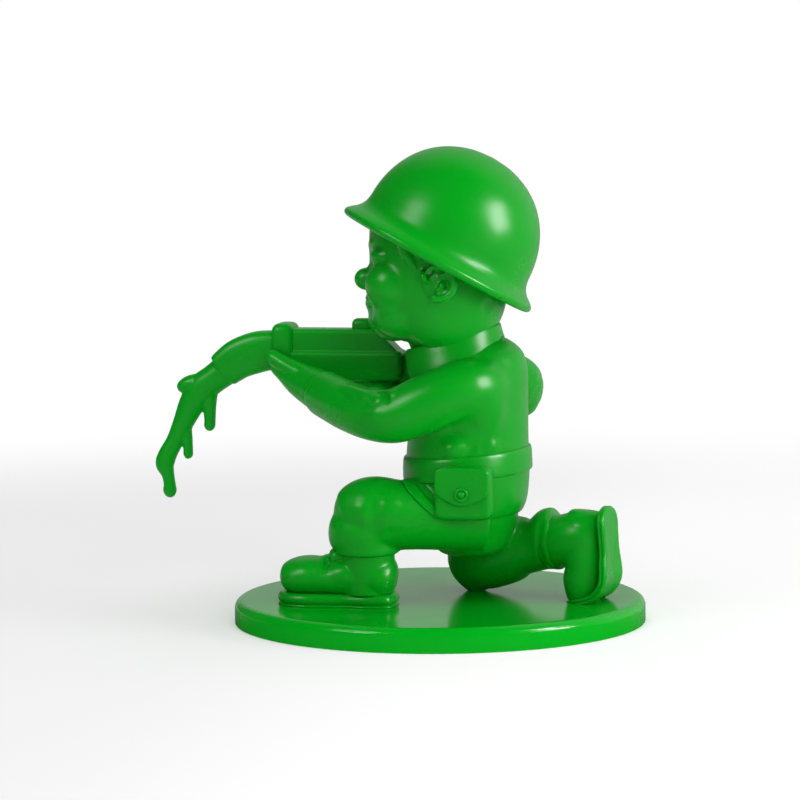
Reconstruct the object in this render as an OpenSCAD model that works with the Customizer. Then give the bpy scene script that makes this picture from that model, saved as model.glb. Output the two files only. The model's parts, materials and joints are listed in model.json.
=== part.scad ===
// Kneeling toy soldier on a round stand, aiming a rifle whose barrel has softened and drips.
// Millimetres, +Z up. The face looks towards -X and the left side lies towards -Y.
// The origin is under the middle of the stand.

/* [Stand] */
// Diameter of the round stand
base_d = 145; // [125:1:175]
// Thickness of the stand
base_t = 8.5; // [7.5:0.5:12]
// Rounding of the stand's upper edge
base_edge = 3; // [1.5:0.5:4]
// Side wall of the hollow stand
base_wall = 3; // [2:0.5:5]
// Thickness of the stand's top plate
base_top = 3.2; // [3:0.1:4]
// Thickness of the plate that closes the stand below
cover_t = 1.8; // [1.5:0.1:2.2]
// Gap round the closing plate
cover_gap = 0.2; // [0.1:0.05:0.5]
// Distance of the plate's screws from the middle
cover_screw_place = 56; // [50:1:59]

/* [Figure] */
// Height of the figure above the stand
figure_h = 160; // [140:2:180]
// Wall of the hollow jacket
jacket_wall = 3; // [2:0.25:4]
// Lean of the head towards its right shoulder, in degrees
head_lean = 8; // [4:1:10]
// Lean of the neck towards the front, in degrees
neck_lean = 16.3; // [14:0.1:18]

/* [Neck joint] */
// Diameter of the neck where it enters the collar
neck_d = 29.2; // [27:0.2:30]
// Gap between the turning head and what it turns in
turn_gap = 0.4; // [0.3:0.05:0.6]
// Diameter of the neck plug's shaft
plug_d = 12; // [10:0.5:16]
// Diameter of the plug's flange inside the jacket
plug_flange_d = 18; // [17:0.5:22]
// Thickness of the plug's flange
plug_flange_t = 2.5; // [2:0.25:4]
// Radial play of the plug in the jacket
plug_play = 0.08; // [0.05:0.01:0.15]
// Thickness of the jacket floor that the plug turns in
seat_t = 4; // [3:0.25:5]
// Length of the plug inside the head
plug_grip = 16; // [12:0.5:20]

/* [Helmet] */
// Thickness of the helmet's wall
helmet_wall = 2.6; // [2:0.1:3.2]
// Backward tilt of the helmet, in degrees
helmet_tilt = 28; // [25:1:31]

/* [Jacket trim] */
// How far the belt stands out from the jacket
belt_t = 0.8; // [0.6:0.1:1.6]
// Height of the belt
belt_h = 7; // [5:0.5:9]
// Width of the belt buckle
buckle_w = 9; // [7:0.5:12]
// Thickness of the belt buckle
buckle_t = 0.3; // [0.3:0.1:1]
// Width of the pouch
pouch_w = 18.6; // [14:0.2:22]
// Height of the pouch
pouch_h = 17.6; // [14:0.2:18]
// How far the pouch stands out from the jacket's side
pouch_t = 3.4; // [2.4:0.1:5]
// Rounding of the pouch's corners
pouch_corner = 2.6; // [1.5:0.1:3.5]
// Thickness of the pouch's flap
flap_t = 1; // [0.7:0.1:1.6]
// Height of the pouch's flap at its middle
flap_h = 13; // [10:0.5:14]
// Diameter of the pouch's stud
stud_d = 4; // [3:0.2:5]

/* [Boots] */
// Thickness of the boot soles
sole_t = 4.2; // [3.4:0.2:5]
// Depth of the groove round a sole
sole_groove = 0.6; // [0.3:0.1:1]

/* [Rifle] */
// Width of the rifle
rifle_w = 12; // [10:0.5:13]
// Step from the rifle's lower part in to its upper part
rifle_step = 1; // [0.5:0.1:1.5]
// Rounding along the rifle's long edges
rifle_round = 2; // [1:0.25:3]
// How far the front band stands out from the rifle
band_t = 1; // [0.8:0.1:2]
// Length of the front band
band_l = 8; // [6:0.2:10]
// Width of the rear sight
sight_w = 5; // [3:0.5:6]

/* [Pins and screws] */
// Diameter of the pins that hold the limbs
pin_d = 6; // [4:0.5:7]
// Length of a limb's pin
pin_l = 14; // [12:0.5:18]
// Diameter of the spigots of the hands
spigot_d = 7; // [5:0.5:8]
// Length of the spigots of the hands
spigot_l = 8; // [6:0.5:10]
// Diameter of the spigots of the boots
ankle_d = 11; // [8:0.5:13]
// Length of the spigots of the boots
ankle_l = 8; // [6:0.5:9]
// Diameter of the spigot at the waist
waist_d = 24; // [20:0.5:28]
// Diameter of the screws
screw_d = 2.6; // [2:0.2:3]
// Diameter of the screw heads
screw_head_d = 5.2; // [4.4:0.2:6]
// Thickness of the screw heads
screw_head_t = 1.4; // [1:0.1:1.6]
// Depth that a screw bites into the figure
screw_bite = 8; // [6:0.5:10]
// Diameter of the bosses round the screws
boss_d = 8; // [7:0.5:10]

/* [Hidden] */

// Tables named shares hold 160ths of the figure's height, measured from the stand's top centre
figure_shares = 160;
one_share = figure_h / figure_shares;
// Overrun that carries every cut past the face it cuts
over = 1;
// Sides of a true curve
fine = 64;
green = "#0a9a2a";
zinc = "silver";

// Each row of a form is x, y, z, half the width across and half the height
jacket_shares = [[9.6, 0, 30.5, 26.4, 19.6], [10.2, 0, 35, 27.2, 20.8], [10.7, 0, 44, 26.8, 21.1],
    [11, 0, 52, 25.8, 20.8], [11.1, 0, 62, 25.2, 20.6], [11, 0, 72, 25.6, 20.6],
    [10.4, 0, 80, 25.4, 20.4], [8.6, 0, 86, 22.6, 18.1], [6.4, 0, 90.5, 18.2, 15.2],
    [5, 0, 94.5, 14.6, 13.4]];
hem_share = 30.5;
// The hem rises over the left thigh between these two points
hem_front_shares = [[-12.4, 0, 42], [5, 0, 31]];
hips_shares = [[11, 0, 14.8, 5, 5], [11, 0, 16.4, 12, 10.6], [11, 0, 20.5, 17.6, 14.6],
    [10.4, 0, 26, 21.4, 17.2], [10, 0, 31.5, 22.8, 18.4]];
belt_share = 49;
belt_lean = -4.6;
// The collar runs from its lower edge over its fold to its upper edge, each as far outside the neck's hole
// as its row's last two numbers say
collar_shares = [[5.4, 0, 86.4, 5, 2.2], [5, 0, 89.4, 4, 2]];
collar_low_way = [-0.35, 0, 0.94];
collar_top_share = 1.7;
neck_hole_r = neck_d / 2 + turn_gap;
neck_share = [4.4, 0, 92.4];
// Half width and height of the gap between the collar's two points
collar_gap_shares = [3.4, 9];

left_thigh_shares = [[18, -9, 28.6, 11.5, 11], [8, -13, 30, 12.2, 11.9], [-1, -17.5, 31, 12.2, 12.1],
    [-10, -21.5, 31.8, 12.4, 12.6], [-17, -23.6, 32, 12.6, 13.2], [-22.2, -24, 31.2, 12, 12.6],
    [-26.4, -24, 29, 10.2, 10.6], [-29.8, -24, 26.9, 7.2, 7.8], [-32.2, -24, 25.4, 2.8, 3.2]];
left_shin_shares = [[-20.8, -24, 30.4, 11.4, 11.8], [-21.9, -24, 26, 12.2, 12.5],
    [-21.4, -24, 22.4, 11.6, 11.9], [-21.1, -24, 20.2, 11.2, 11.4], [-21.1, -24, 19, 11.1, 11.2],
    [-21.1, -24, 18.4, 10.6, 10.7]];
left_shaft_shares = [[-20.9, -24, 4, 9.5, 9.8], [-20.9, -24, 11, 9.7, 9.9], [-20.8, -24, 18.4, 9.6, 9.8]];
left_foot_shares = [[-10.6, -23.6, 9.6, 4.6, 4.8], [-12.2, -23.6, 10, 7.6, 7.2],
    [-17, -23.5, 10.4, 9.2, 8], [-26, -23.4, 10.4, 9.8, 8], [-33, -23.2, 9.6, 10, 6.3],
    [-38, -23, 9.6, 10.2, 6.4], [-43, -23, 9.7, 10.2, 6.4], [-47.5, -23, 9.3, 9.2, 5.7],
    [-50.8, -23, 8.6, 7, 4.4], [-52.4, -23, 8.2, 3.2, 2.4]];
tongue_shares = [[-28, -24, 17.4, 5.2, 3], [-31, -24, 17, 4.8, 2.6], [-33.4, -24, 15.8, 3.8, 2.2],
    [-35.2, -24, 14.2, 2.6, 1.4]];
left_sole_shares = [[-10.4, -23.6], [-12, -16.2], [-19, -14.4], [-27, -14.9], [-35, -13.6],
    [-43, -12.8], [-50, -15.4], [-53.2, -22.8], [-50, -30.4], [-43, -33.4], [-35, -33], [-27, -32.2],
    [-19, -32.8], [-12, -31]];
left_sole_centre_share = [-31.5, -23.4];
left_ankle_share = [-20.9, -24, 18.4];
// The seam between the seat and each leg
left_seam_share = [0, -17, 31];
left_seam_way = [-1, -0.45, 0.08];
right_seam_share = [11.6, 12.6, 22];
right_seam_way = [0, 0.12, -1];
// The pins through those seams, low enough to clear the jacket
hip_pin_shares = [[-0.4, -17, 26], [11.6, 12.6, 22]];

right_thigh_shares = [[12, 11, 29, 12, 12], [11.6, 12.6, 22, 12.1, 12.2], [11.4, 14.2, 15, 11.8, 12],
    [11, 15, 9.6, 10.6, 11], [10.6, 15, 4.6, 8, 8.6], [10.4, 15, 1.2, 4.6, 5], [10.4, 15, -0.6, 2, 2]];
right_shin_shares = [[6, 16.6, 11, 7, 7], [11.5, 15, 11.6, 11, 11.2], [20, 12, 13.5, 11.2, 11],
    [27, 9, 16.4, 10.8, 10.9], [32.6, 7, 18.2, 10.2, 10.3], [36, 6, 19.5, 11.2, 11.5],
    [39, 5.3, 20.3, 11.4, 11.7], [41, 4.8, 20.9, 10.6, 10.8]];
// The rear boot has its own frame: its sole's plane stands at this point and is turned
rear_foot_share = [59.6, -3.4, 0];
rear_foot_turn = -10;
rear_foot_lean = -4;
rear_shaft_shares = [[-20.4, 4.4, 20.9, 9.2, 9.4], [-14, 3.4, 21.8, 9, 9.2], [-8, 1.6, 22.8, 9, 9.6],
    [-3, 0.4, 23.6, 8, 9], [-0.6, 0, 23.8, 6, 7]];
rear_foot_shares = [[-4.2, 0, 31.8, 3.4, 2.6], [-5.2, 0, 30.2, 6.4, 5.2], [-6.8, 0, 27, 8.4, 7.2],
    [-8, 0, 23, 8.9, 8], [-7, 0, 17.5, 8.9, 7.2], [-6.4, 0, 12.6, 9.1, 6.5], [-7, 0, 8, 9.7, 7.2],
    [-7.3, 0, 4.5, 9.6, 7.4], [-7.2, 0, 1.2, 8.6, 6.4], [-7, 0, -1.6, 6.6, 4.6]];
right_sole_shares = [[-1, 7.6], [3, 9.4], [8, 9.9], [13, 9.2], [18, 7.8], [23, 7.9], [28, 8.2],
    [31.6, 6.4], [33.4, 2.4], [33.4, -2.4], [31.6, -6.4], [28, -8.2], [23, -7.9], [18, -7.8],
    [13, -9.2], [8, -9.9], [3, -9.4], [-1, -7.6]];
right_sole_centre_share = [17, 0];
right_ankle_share = [41, 4.8, 20.9];
right_ankle_way = [1, -0.32, 0.1];

left_arm_shares = [[22, -15, 78, 10.6, 11], [16, -21, 78.4, 10.6, 11], [8, -24.4, 75.3, 10.1, 10.4],
    [-1, -26, 70.5, 9.7, 10], [-10, -25.8, 67.1, 9.3, 9.4], [-19, -22.4, 67.2, 8.8, 8.8],
    [-28, -15.6, 68.4, 8.5, 8.6], [-36, -8.4, 71, 7.9, 8.2], [-42, -2.4, 72.8, 7.2, 7.6],
    [-45.4, 1.2, 74.2, 7, 7.4], [-46.4, 2.2, 74.6, 6.3, 6.7]];
left_wrist_share = [-46.4, 2.2, 74.8];
left_wrist_way = [-0.68, 0.68, 0.27];
left_palm_shares = [[-46, 1.8, 74.6, 5.4, 5.4], [-50, 5, 76, 6.2, 5.4], [-54, 9, 77.6, 7, 4.6],
    [-58, 12, 79.4, 7, 3.9], [-61, 14, 80.8, 5.6, 3.2], [-63.6, 15.2, 81.2, 3, 1.8]];
left_thumb_shares = [[-48, 3.4, 77, 4, 3.8], [-52.6, 5.2, 79.6, 3.6, 3.4], [-57, 7.2, 81, 3, 2.9],
    [-61, 8.4, 82.2, 2.8, 2.9], [-63, 8.8, 82.6, 2.2, 2.2], [-64.2, 9, 82.8, 0.9, 0.9]];
// One finger, and the steps that set the other three beside it
left_finger_shares = [[-49, 13, 75, 2.6, 2.6], [-49.4, 19, 73.8, 2.6, 2.6], [-50, 23.4, 75.8, 2.6, 2.6],
    [-50.6, 25, 79.4, 2.5, 2.5], [-51, 24.8, 83.6, 2.4, 2.4], [-51.2, 24, 86.2, 1.8, 1.8],
    [-51.2, 23.6, 87, 0.8, 0.8]];
left_finger_step_share = [-4.7, 0, 0.9];

right_upper_shares = [[6, 12, 76.5, 11.4, 11.6], [13, 21, 77, 11.2, 11.4], [19, 28, 75.4, 10.4, 10.6],
    [23.2, 33, 72.4, 9.8, 10], [26, 35.2, 70.6, 7.7, 8], [27.8, 36.6, 69.4, 3.4, 3.4]];
right_lower_shares = [[29.8, 37.2, 69.4, 3, 3], [27.7, 36.6, 69.8, 7.3, 7.5],
    [23.8, 35.4, 70.2, 9.4, 9.6], [15, 33, 69.8, 9.3, 9.5], [4, 29.6, 69, 8.8, 9],
    [-5, 26, 68.4, 8.1, 8.3], [-10.6, 23.4, 68.2, 7.3, 7.6], [-12.4, 22.6, 68.2, 6.6, 6.9]];
right_wrist_share = [-12.4, 22.6, 68.2];
right_wrist_way = [-0.9, -0.42, 0];
right_palm_shares = [[-11.8, 22.8, 68.2, 5.4, 5.8], [-16, 20.8, 68.6, 5.8, 6.8],
    [-20.4, 18.6, 68.8, 6.2, 7.2], [-24.4, 17, 68.8, 5.4, 6.6], [-27, 16, 68.8, 3, 4]];
right_finger_shares = [[-19, 21, 71.6, 2.5, 2.3], [-25.6, 19.4, 71.8, 2.5, 2.3],
    [-28.4, 15.6, 71.8, 2.4, 2.2], [-26.4, 11.8, 71.8, 2.3, 2.2], [-22.6, 11, 71.8, 2.2, 2.1],
    [-20.6, 11.2, 71.8, 1, 0.9]];
right_finger_step_share = [0.5, 0, -3.9];
grip_shares = [[-23.4, 15.6, 76.4, 3.6, 4.4], [-22.6, 15.6, 72, 3.2, 4], [-21.6, 15.6, 66, 3.1, 3.9],
    [-20.8, 15.6, 61.4, 3, 3.8], [-20.6, 15.6, 59.6, 1.8, 2.6]];

// The rifle lies along X at this place, with its steps in height
rifle_y_share = 16;
rifle_z_shares = [75.1, 86.2, 93.7];
rifle_x_shares = [-62.2, -16.8];
rifle_rear_round_share = 5.6;
band_x_share = -59.2;
band_z_shares = [84, 95.6];
sight_shares = [[-34.6, 93.2], [-33.8, 96.4], [-31.4, 97.4], [-29, 96.8], [-27, 95.2], [-26.4, 93.2]];
stock_shares = [[-24, 16, 80.6, 4.6, 5], [-19, 16.2, 80.2, 4.4, 5.2], [-13, 16.6, 79.4, 4.4, 6],
    [-6, 17, 78.6, 4.4, 6.8], [0, 17.2, 78, 4.4, 7]];
// In these rows the last two numbers are half the height and half the width
barrel_shares = [[-55, 16, 86, 6.8, 5], [-60, 16, 86, 7.2, 5.2], [-65, 16, 85.8, 7.6, 5.3],
    [-70, 16, 84.8, 7.3, 5.2], [-76, 16, 82, 6.9, 5], [-81, 16, 79, 6.5, 4.9],
    [-83.4, 16, 77.4, 6.2, 4.9]];
melt_shares = [[-81.6, 16, 78.6, 5.9, 4.6], [-86, 16, 75.4, 5.6, 4.5], [-90.4, 16, 71.6, 5.4, 4.3],
    [-94.4, 16, 65.8, 4.8, 3.9], [-97.8, 16, 58.8, 3.8, 3.4], [-101, 16, 52.2, 3.2, 3],
    [-103.8, 16, 47.2, 3.4, 3], [-104.9, 16, 43.6, 3.5, 2.9], [-103.9, 16, 40, 2.4, 2.2],
    [-103.3, 16, 36.6, 2.2, 2], [-103.2, 16, 34, 2.5, 2.3], [-103.3, 16, 32.2, 1.8, 1.7],
    [-103.4, 16, 31.4, 0.7, 0.7]];
lobe_shares = [[-90, 16, 72.8, 4.4, 3.8], [-94.4, 16, 73, 3.4, 3.2], [-97.6, 16, 72, 2.6, 2.6],
    [-99.2, 16, 71.4, 1.6, 1.5], [-99.7, 16, 71.2, 0.6, 0.6]];
drip_shares = [[[-88.4, 16, 71, 4, 3.2], [-87.9, 16, 65.4, 2.6, 2.3], [-87.8, 16, 60, 2.1, 2],
    [-87.9, 16, 57.8, 2.1, 2], [-87.9, 16, 56.4, 1.3, 1.3], [-87.9, 16, 55.9, 0.5, 0.5]],
    [[-97.6, 16, 58, 3, 2.6], [-96.4, 16, 53, 2, 1.9], [-96.1, 16, 49, 1.8, 1.7],
    [-96.1, 16, 47.2, 1.8, 1.7], [-96.2, 16, 46, 1.1, 1.1], [-96.2, 16, 45.6, 0.4, 0.4]]];

// The head and the helmet share a frame at the head's middle
head_share = [0, 0, 115.5];
skull_shares = [[-8.5, 0, -24.2, 7, 6], [-7, 0, -22.6, 13.6, 13.4], [-3.6, 0, -19, 18.8, 18.8],
    [-0.8, 0, -13, 22.8, 23], [0, 0, -6, 24.8, 24.4], [0.8, 0, 2, 25.4, 24.4], [2.2, 0, 10, 25.8, 25.2],
    [3.6, 0, 18, 25.6, 25.6], [6, 0, 25, 22.8, 23], [8.4, 0, 32, 17.6, 18], [10.2, 0, 37.4, 10.6, 11],
    [10.8, 0, 40, 4, 4]];
cheek_shares = [-13, 14, -7.4];
cheek_r_share = 10.2;
nose_shares = [-25.4, 0, -3];
nose_r_share = 4.4;
chin_shares = [-16.4, 0, -16.6];
chin_r_share = 8.2;
ear_shares = [6, 25, -5.4];
ear_r_shares = [6.2, 3.4];
helmet_shares = [[37.2, 0.6], [36.4, 2.6], [34.2, 4.2], [32.6, 6.2], [31.8, 9], [31.4, 12], [30.7, 16],
    [29.4, 20.4], [27.3, 25], [24.1, 29.6], [19.8, 33.8], [14.2, 37.2], [7.4, 39.6], [0, 40.4]];
helmet_lip_shares = [[33.4, -0.6], [35, -1.2], [36.6, -0.8]];
helmet_middle_share = 6;

pouch_share = [14, 40.4];
buckle_share = 47;
knee_screw_share = [10.6, 15];
toe_screw_share = [52.6, -2.4];
left_screw_shares = [[-20.4, -24], [-40, -23]];

// Points of the tables, in millimetres above the stand
function place(row) = [row[0], row[1], row[2]] * one_share;
function unit(v) = v / norm(v);
// Smooth curve through the rows of a table
function curve_point(list, i, t) =
    let (n = len(list) - 1, a = list[max(i - 1, 0)], b = list[i], c = list[min(i + 1, n)],
        d = list[min(i + 2, n)])
    (2 * b + (c - a) * t + (2 * a - 5 * b + 4 * c - d) * t * t + (3 * b - a - 3 * c + d) * t * t * t) / 2;
function smoothed(list, steps) =
    [for (i = [0 : len(list) - 2]) for (k = [0 : steps - 1]) curve_point(list, i, k / steps),
        list[len(list) - 1]];
// Rounded ring, squarer as its power falls below one
function bulge(v, power) = sign(v) * pow(abs(v), power);
function ring(row, way, side, sides, grow, power) =
    let (t = unit(way), s = unit(cross(side, t)), n = cross(t, s))
    [for (k = [0 : sides - 1]) let (q = 360 * k / sides)
        place(row) + s * (row[3] * one_share + grow) * bulge(cos(q), power)
            + n * (row[4] * one_share + grow) * bulge(sin(q), power)];
function rings(rows, side, sides, grow, power) = [for (i = [0 : len(rows) - 1])
    ring(rows[i], place(rows[min(i + 1, len(rows) - 1)]) - place(rows[max(i - 1, 0)]),
        side, sides, grow, power)];

// Closed skin over a list of rings
module skin(list) {
    sides = len(list[0]);
    last = len(list) - 1;
    polyhedron(
        points = [for (loop = list) each loop],
        faces = concat(
            [[for (k = [0 : sides - 1]) k]],
            [for (i = [0 : last - 1]) for (k = [0 : sides - 1]) let (m = (k + 1) % sides) each
                [[i * sides + k, (i + 1) * sides + k, i * sides + m],
                    [i * sides + m, (i + 1) * sides + k, (i + 1) * sides + m]]],
            [[for (k = [sides - 1 : -1 : 0]) last * sides + k]]));
}

// Form swept along the rows of a table
module form(rows, side = [0, 0, 1], sides = 20, steps = 2, grow = 0, power = 1) {
    skin(rings(smoothed(rows, steps), side, sides, grow, power));
}

module on_stand() translate([0, 0, base_t]) children();

// Slab between two heights, wider than the figure
module slab(low, high) translate([-figure_h, -figure_h, low]) cube([2 * figure_h, 2 * figure_h, high - low]);

// Points along Z of the children's frame in the given way
module along(way) {
    w = unit(way);
    rotate([0, acos(w[2]), atan2(w[1], w[0])]) children();
}

// Everything on one side of the plane through two points in the XZ view
module above(two) {
    a = place(two[0]);
    b = place(two[1]);
    translate(a) rotate([0, -atan2(b[2] - a[2], b[0] - a[0]), 0]) slab(0, 2 * figure_h);
}

module neck_frame() translate(place(neck_share)) rotate([0, -neck_lean, 0]) children();
module head_frame() translate(place(head_share)) rotate([-head_lean, 0, 0]) children();
module rear_foot_frame() translate(place(rear_foot_share))
    rotate([0, rear_foot_lean, rear_foot_turn]) children();

// Stand
module base() {
    color(green) difference() {
        union() {
            difference() {
                union() {
                    cylinder(d = base_d, h = base_t - base_edge, $fn = 2 * fine);
                    cylinder(d = base_d - 2 * base_edge, h = base_t, $fn = 2 * fine);
                    translate([0, 0, base_t - base_edge]) rotate_extrude($fn = 2 * fine)
                        translate([base_d / 2 - base_edge, 0]) intersection() {
                            circle(r = base_edge, $fn = fine);
                            translate([-base_edge, 0]) square([2 * base_edge, base_edge]);
                        }
                }
                translate([0, 0, -over]) cylinder(d = base_d - 2 * base_wall, h = base_t - base_top + over,
                    $fn = 2 * fine);
            }
            at_cover_screws() translate([0, 0, cover_t])
                cylinder(d = boss_d, h = base_t - base_top - cover_t + base_top / 2, $fn = fine);
        }
        at_cover_screws() translate([0, 0, -over])
            cylinder(d = screw_d, h = base_t - base_top + over, $fn = fine);
        for (p = foot_places) translate([p[0], p[1], -over])
            cylinder(d = screw_d, h = base_t + 2 * over, $fn = fine);
    }
}

module at_cover_screws() for (k = [0 : 2])
    rotate([0, 0, 60 + 120 * k]) translate([cover_screw_place, 0, 0]) children();

foot_places = concat(left_screw_shares, [knee_screw_share, toe_screw_share]) * one_share;

module base_cover() {
    color(green) difference() {
        cylinder(d = base_d - 2 * base_wall - 2 * cover_gap, h = cover_t, $fn = 2 * fine);
        at_cover_screws() screw(cover_t + over);
    }
}

// Countersunk screw whose head is flush with its lower face
module screw(length) {
    cylinder(d1 = screw_head_d, d2 = screw_d, h = screw_head_t, $fn = fine);
    cylinder(d = screw_d, h = length, $fn = fine);
}

module cover_screws() {
    color(zinc) at_cover_screws() screw(base_t - base_top);
}

// Screws from inside the stand up into the boots and the knee
module foot_screws() {
    color(zinc) for (p = foot_places) translate([p[0], p[1], base_t - base_top]) {
        translate([0, 0, -screw_head_t]) cylinder(d = screw_head_d, h = screw_head_t, $fn = fine);
        cylinder(d = screw_d, h = base_top + screw_bite, $fn = fine);
    }
}

module foot_screw_holes() {
    for (p = foot_places) translate([p[0], p[1], -over])
        cylinder(d = screw_d, h = screw_bite + over, $fn = fine);
}

// Outline of a sole, grown or shrunk about its middle
module sole_outline(points, centre, grow) {
    polygon([for (p = smoothed(points, 2)) (p + unit(p - centre) * grow / one_share) * one_share]);
}

// Sole with a groove between its rim and its tread
module sole(points, centre) {
    third = sole_t / 3;
    linear_extrude(sole_t) sole_outline(points, centre, -sole_groove);
    linear_extrude(third) sole_outline(points, centre, 0);
    translate([0, 0, 2 * third]) linear_extrude(third) sole_outline(points, centre, 0);
}

module left_sole() {
    color(green) on_stand() difference() {
        sole(concat(left_sole_shares, [left_sole_shares[0]]), left_sole_centre_share);
        foot_screw_holes();
    }
}

module left_boot() {
    color(green) on_stand() {
        difference() {
            union() {
                form(left_foot_shares);
                form(left_shaft_shares, side = [1, 0, 0], sides = 24);
                form(tongue_shares, sides = 12);
            }
            slab(-figure_h, sole_t);
            slab(place(left_ankle_share)[2], 2 * figure_h);
            left_leg_form();
            foot_screw_holes();
        }
        left_spigot();
    }
}

module left_spigot() translate(place(left_ankle_share) - [0, 0, over])
    cylinder(d = ankle_d, h = ankle_l + over, $fn = fine);

module left_thigh_form() form(left_thigh_shares);

module left_leg_form() {
    left_thigh_form();
    form(left_shin_shares, side = [1, 0, 0]);
}

// Everything on the far side of a seam
module past_seam(point, way) translate(place(point)) along(way) slab(0, figure_h);

module left_leg() {
    color(green) on_stand() difference() {
        intersection() {
            left_leg_form();
            past_seam(left_seam_share, left_seam_way);
        }
        jacket_form();
        hips_form();
        left_spigot();
        hip_pin(0);
    }
}

module right_thigh_form() form(right_thigh_shares, side = [1, 0, 0]);

module right_shin_form() form(right_shin_shares);

module right_leg_form() {
    intersection() {
        right_thigh_form();
        past_seam(right_seam_share, right_seam_way);
    }
    right_shin_form();
}

module right_leg() {
    color(green) on_stand() difference() {
        right_leg_form();
        ground();
        jacket_form();
        hips_form();
        right_spigot();
        foot_screw_holes();
        hip_pin(1);
    }
}

module ground() slab(-2 * figure_h, 0);

module right_spigot() translate(place(right_ankle_share)) along(-right_ankle_way)
    translate([0, 0, -over]) cylinder(d = ankle_d, h = ankle_l + over, $fn = fine);

module right_boot() {
    color(green) on_stand() {
        difference() {
            rear_foot_frame() {
                form(rear_foot_shares, side = [1, 0, 0]);
                form(rear_shaft_shares);
            }
            right_leg_form();
            ground();
            rear_foot_frame() rotate([0, 90, 0]) slab(0, figure_h);
            foot_screw_holes();
        }
        right_spigot();
    }
}

module right_sole() {
    color(green) on_stand() difference() {
        rear_foot_frame() rotate([90, 0, 90]) mirror([1, 0, 0]) rotate([0, 0, 90])
            sole(concat(right_sole_shares, [right_sole_shares[0]]), right_sole_centre_share);
        ground();
    }
}

// Seat of the trousers, plugged into the jacket
module hips_form() form(hips_shares, side = [1, 0, 0], sides = 28);

module waist_spigot(gap = 0) translate(place([hips_shares[4][0], 0, hem_share]) - [0, 0, over])
    cylinder(d = waist_d + 2 * gap, h = belt_share * one_share - hem_share * one_share + over, $fn = fine);

module hips() {
    color(green) on_stand() difference() {
        union() {
            difference() {
                union() {
                    hips_form();
                    difference() {
                        left_thigh_form();
                        past_seam(left_seam_share, left_seam_way);
                    }
                    difference() {
                        right_thigh_form();
                        past_seam(right_seam_share, right_seam_way);
                    }
                }
                right_shin_form();
                jacket_form();
            }
            waist_spigot();
        }
        hip_pin(0);
        hip_pin(1);
    }
}

// Pins across the seams between the seat and the legs
module hip_pin(k) translate(place(hip_pin_shares[k])) along([left_seam_way, right_seam_way][k])
    translate([0, 0, -pin_l / 2]) cylinder(d = pin_d, h = pin_l, $fn = fine);

module hip_pins() {
    color(green) on_stand() for (k = [0, 1]) hip_pin(k);
}

// Outer form of the jacket, without its neck and with its rising hem
module jacket_body(grow = 0) form(jacket_shares, side = [1, 0, 0], sides = 28, grow = grow);

module jacket_form() {
    difference() {
        jacket_body();
        neck_frame() slab(-seat_drop, figure_h);
        hem_cut();
    }
}

seat_drop_share = 4;
seat_drop = seat_drop_share * one_share;

module hem_cut() {
    difference() {
        translate([-figure_h, -figure_h, 0])
            cube([figure_h + place(hem_front_shares[1])[0], 2 * figure_h, figure_h]);
        above(hem_front_shares);
    }
}

module jacket() {
    color(green) on_stand() difference() {
        jacket_form();
        intersection() {
            jacket_body(-jacket_wall);
            neck_frame() slab(-2 * figure_h, -seat_drop - seat_t);
            slab(belt_share * one_share, 2 * figure_h);
        }
        waist_spigot();
        neck_frame() translate([0, 0, -seat_drop - seat_t - over])
            cylinder(d = plug_d + 2 * plug_play, h = seat_t + 2 * over, $fn = fine);
        for (hand = [-1, 1]) shoulder_pin(hand);
    }
}

shoulder_pin_shares = [[13, -24, 77], [12, 24, 76.5]];
shoulder_pin_ways = [[0.1, 1, 0], [0.1, -1, 0]];

module shoulder_pin(hand) {
    k = hand < 0 ? 0 : 1;
    translate(shoulder_pin_shares[k] * one_share) along(shoulder_pin_ways[k])
        translate([0, 0, -pin_l / 2]) cylinder(d = pin_d, h = pin_l, $fn = fine);
}

module shoulder_pins() {
    color(green) on_stand() for (hand = [-1, 1]) shoulder_pin(hand);
}

// Belt, laid round the jacket between two leaning planes
module belt_slab(height) translate([place(jacket_shares[2])[0], 0, belt_share * one_share - belt_h / 2])
    rotate([0, belt_lean, 0]) translate([-figure_h / 2, -figure_h / 2, (belt_h - height) / 2])
        cube([figure_h, figure_h, height]);

module belt() {
    color(green) on_stand() difference() {
        intersection() {
            jacket_body(belt_t);
            belt_slab(belt_h);
        }
        jacket_body();
        left_leg_form();
    }
}

belly_x = (jacket_shares[2][0] - jacket_shares[2][4]) * one_share;

module belt_buckle() {
    color(green) on_stand() difference() {
        translate([belly_x - belt_t - buckle_t, -buckle_w / 2, buckle_share * one_share - belt_h / 2])
            cube([belt_t + 2 * buckle_t, buckle_w, belt_h]);
        jacket_body(belt_t);
        left_leg_form();
    }
}

module collar_form() {
    neck_way = [-sin(neck_lean), 0, cos(neck_lean)];
    skin([ring(collar_shares[0], collar_low_way, [1, 0, 0], 28, neck_hole_r, 1),
        ring(collar_shares[1], collar_low_way + neck_way, [1, 0, 0], 28, neck_hole_r, 1),
        ring(concat(neck_share, [collar_top_share, collar_top_share]), neck_way, [1, 0, 0], 28, neck_hole_r,
            1)]);
}

module collar() {
    gap = collar_gap_shares * one_share;
    color(green) on_stand() difference() {
        collar_form();
        jacket_form();
        neck_frame() translate([0, 0, -figure_h / 2])
            cylinder(r = neck_hole_r, h = figure_h, $fn = fine);
        neck_frame() rotate([90, 0, -90]) linear_extrude(figure_h) polygon([[0, 0], [-gap[0], -gap[1]],
            [-gap[0], -figure_h], [gap[0], -figure_h], [gap[0], -gap[1]]]);
    }
}

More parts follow.
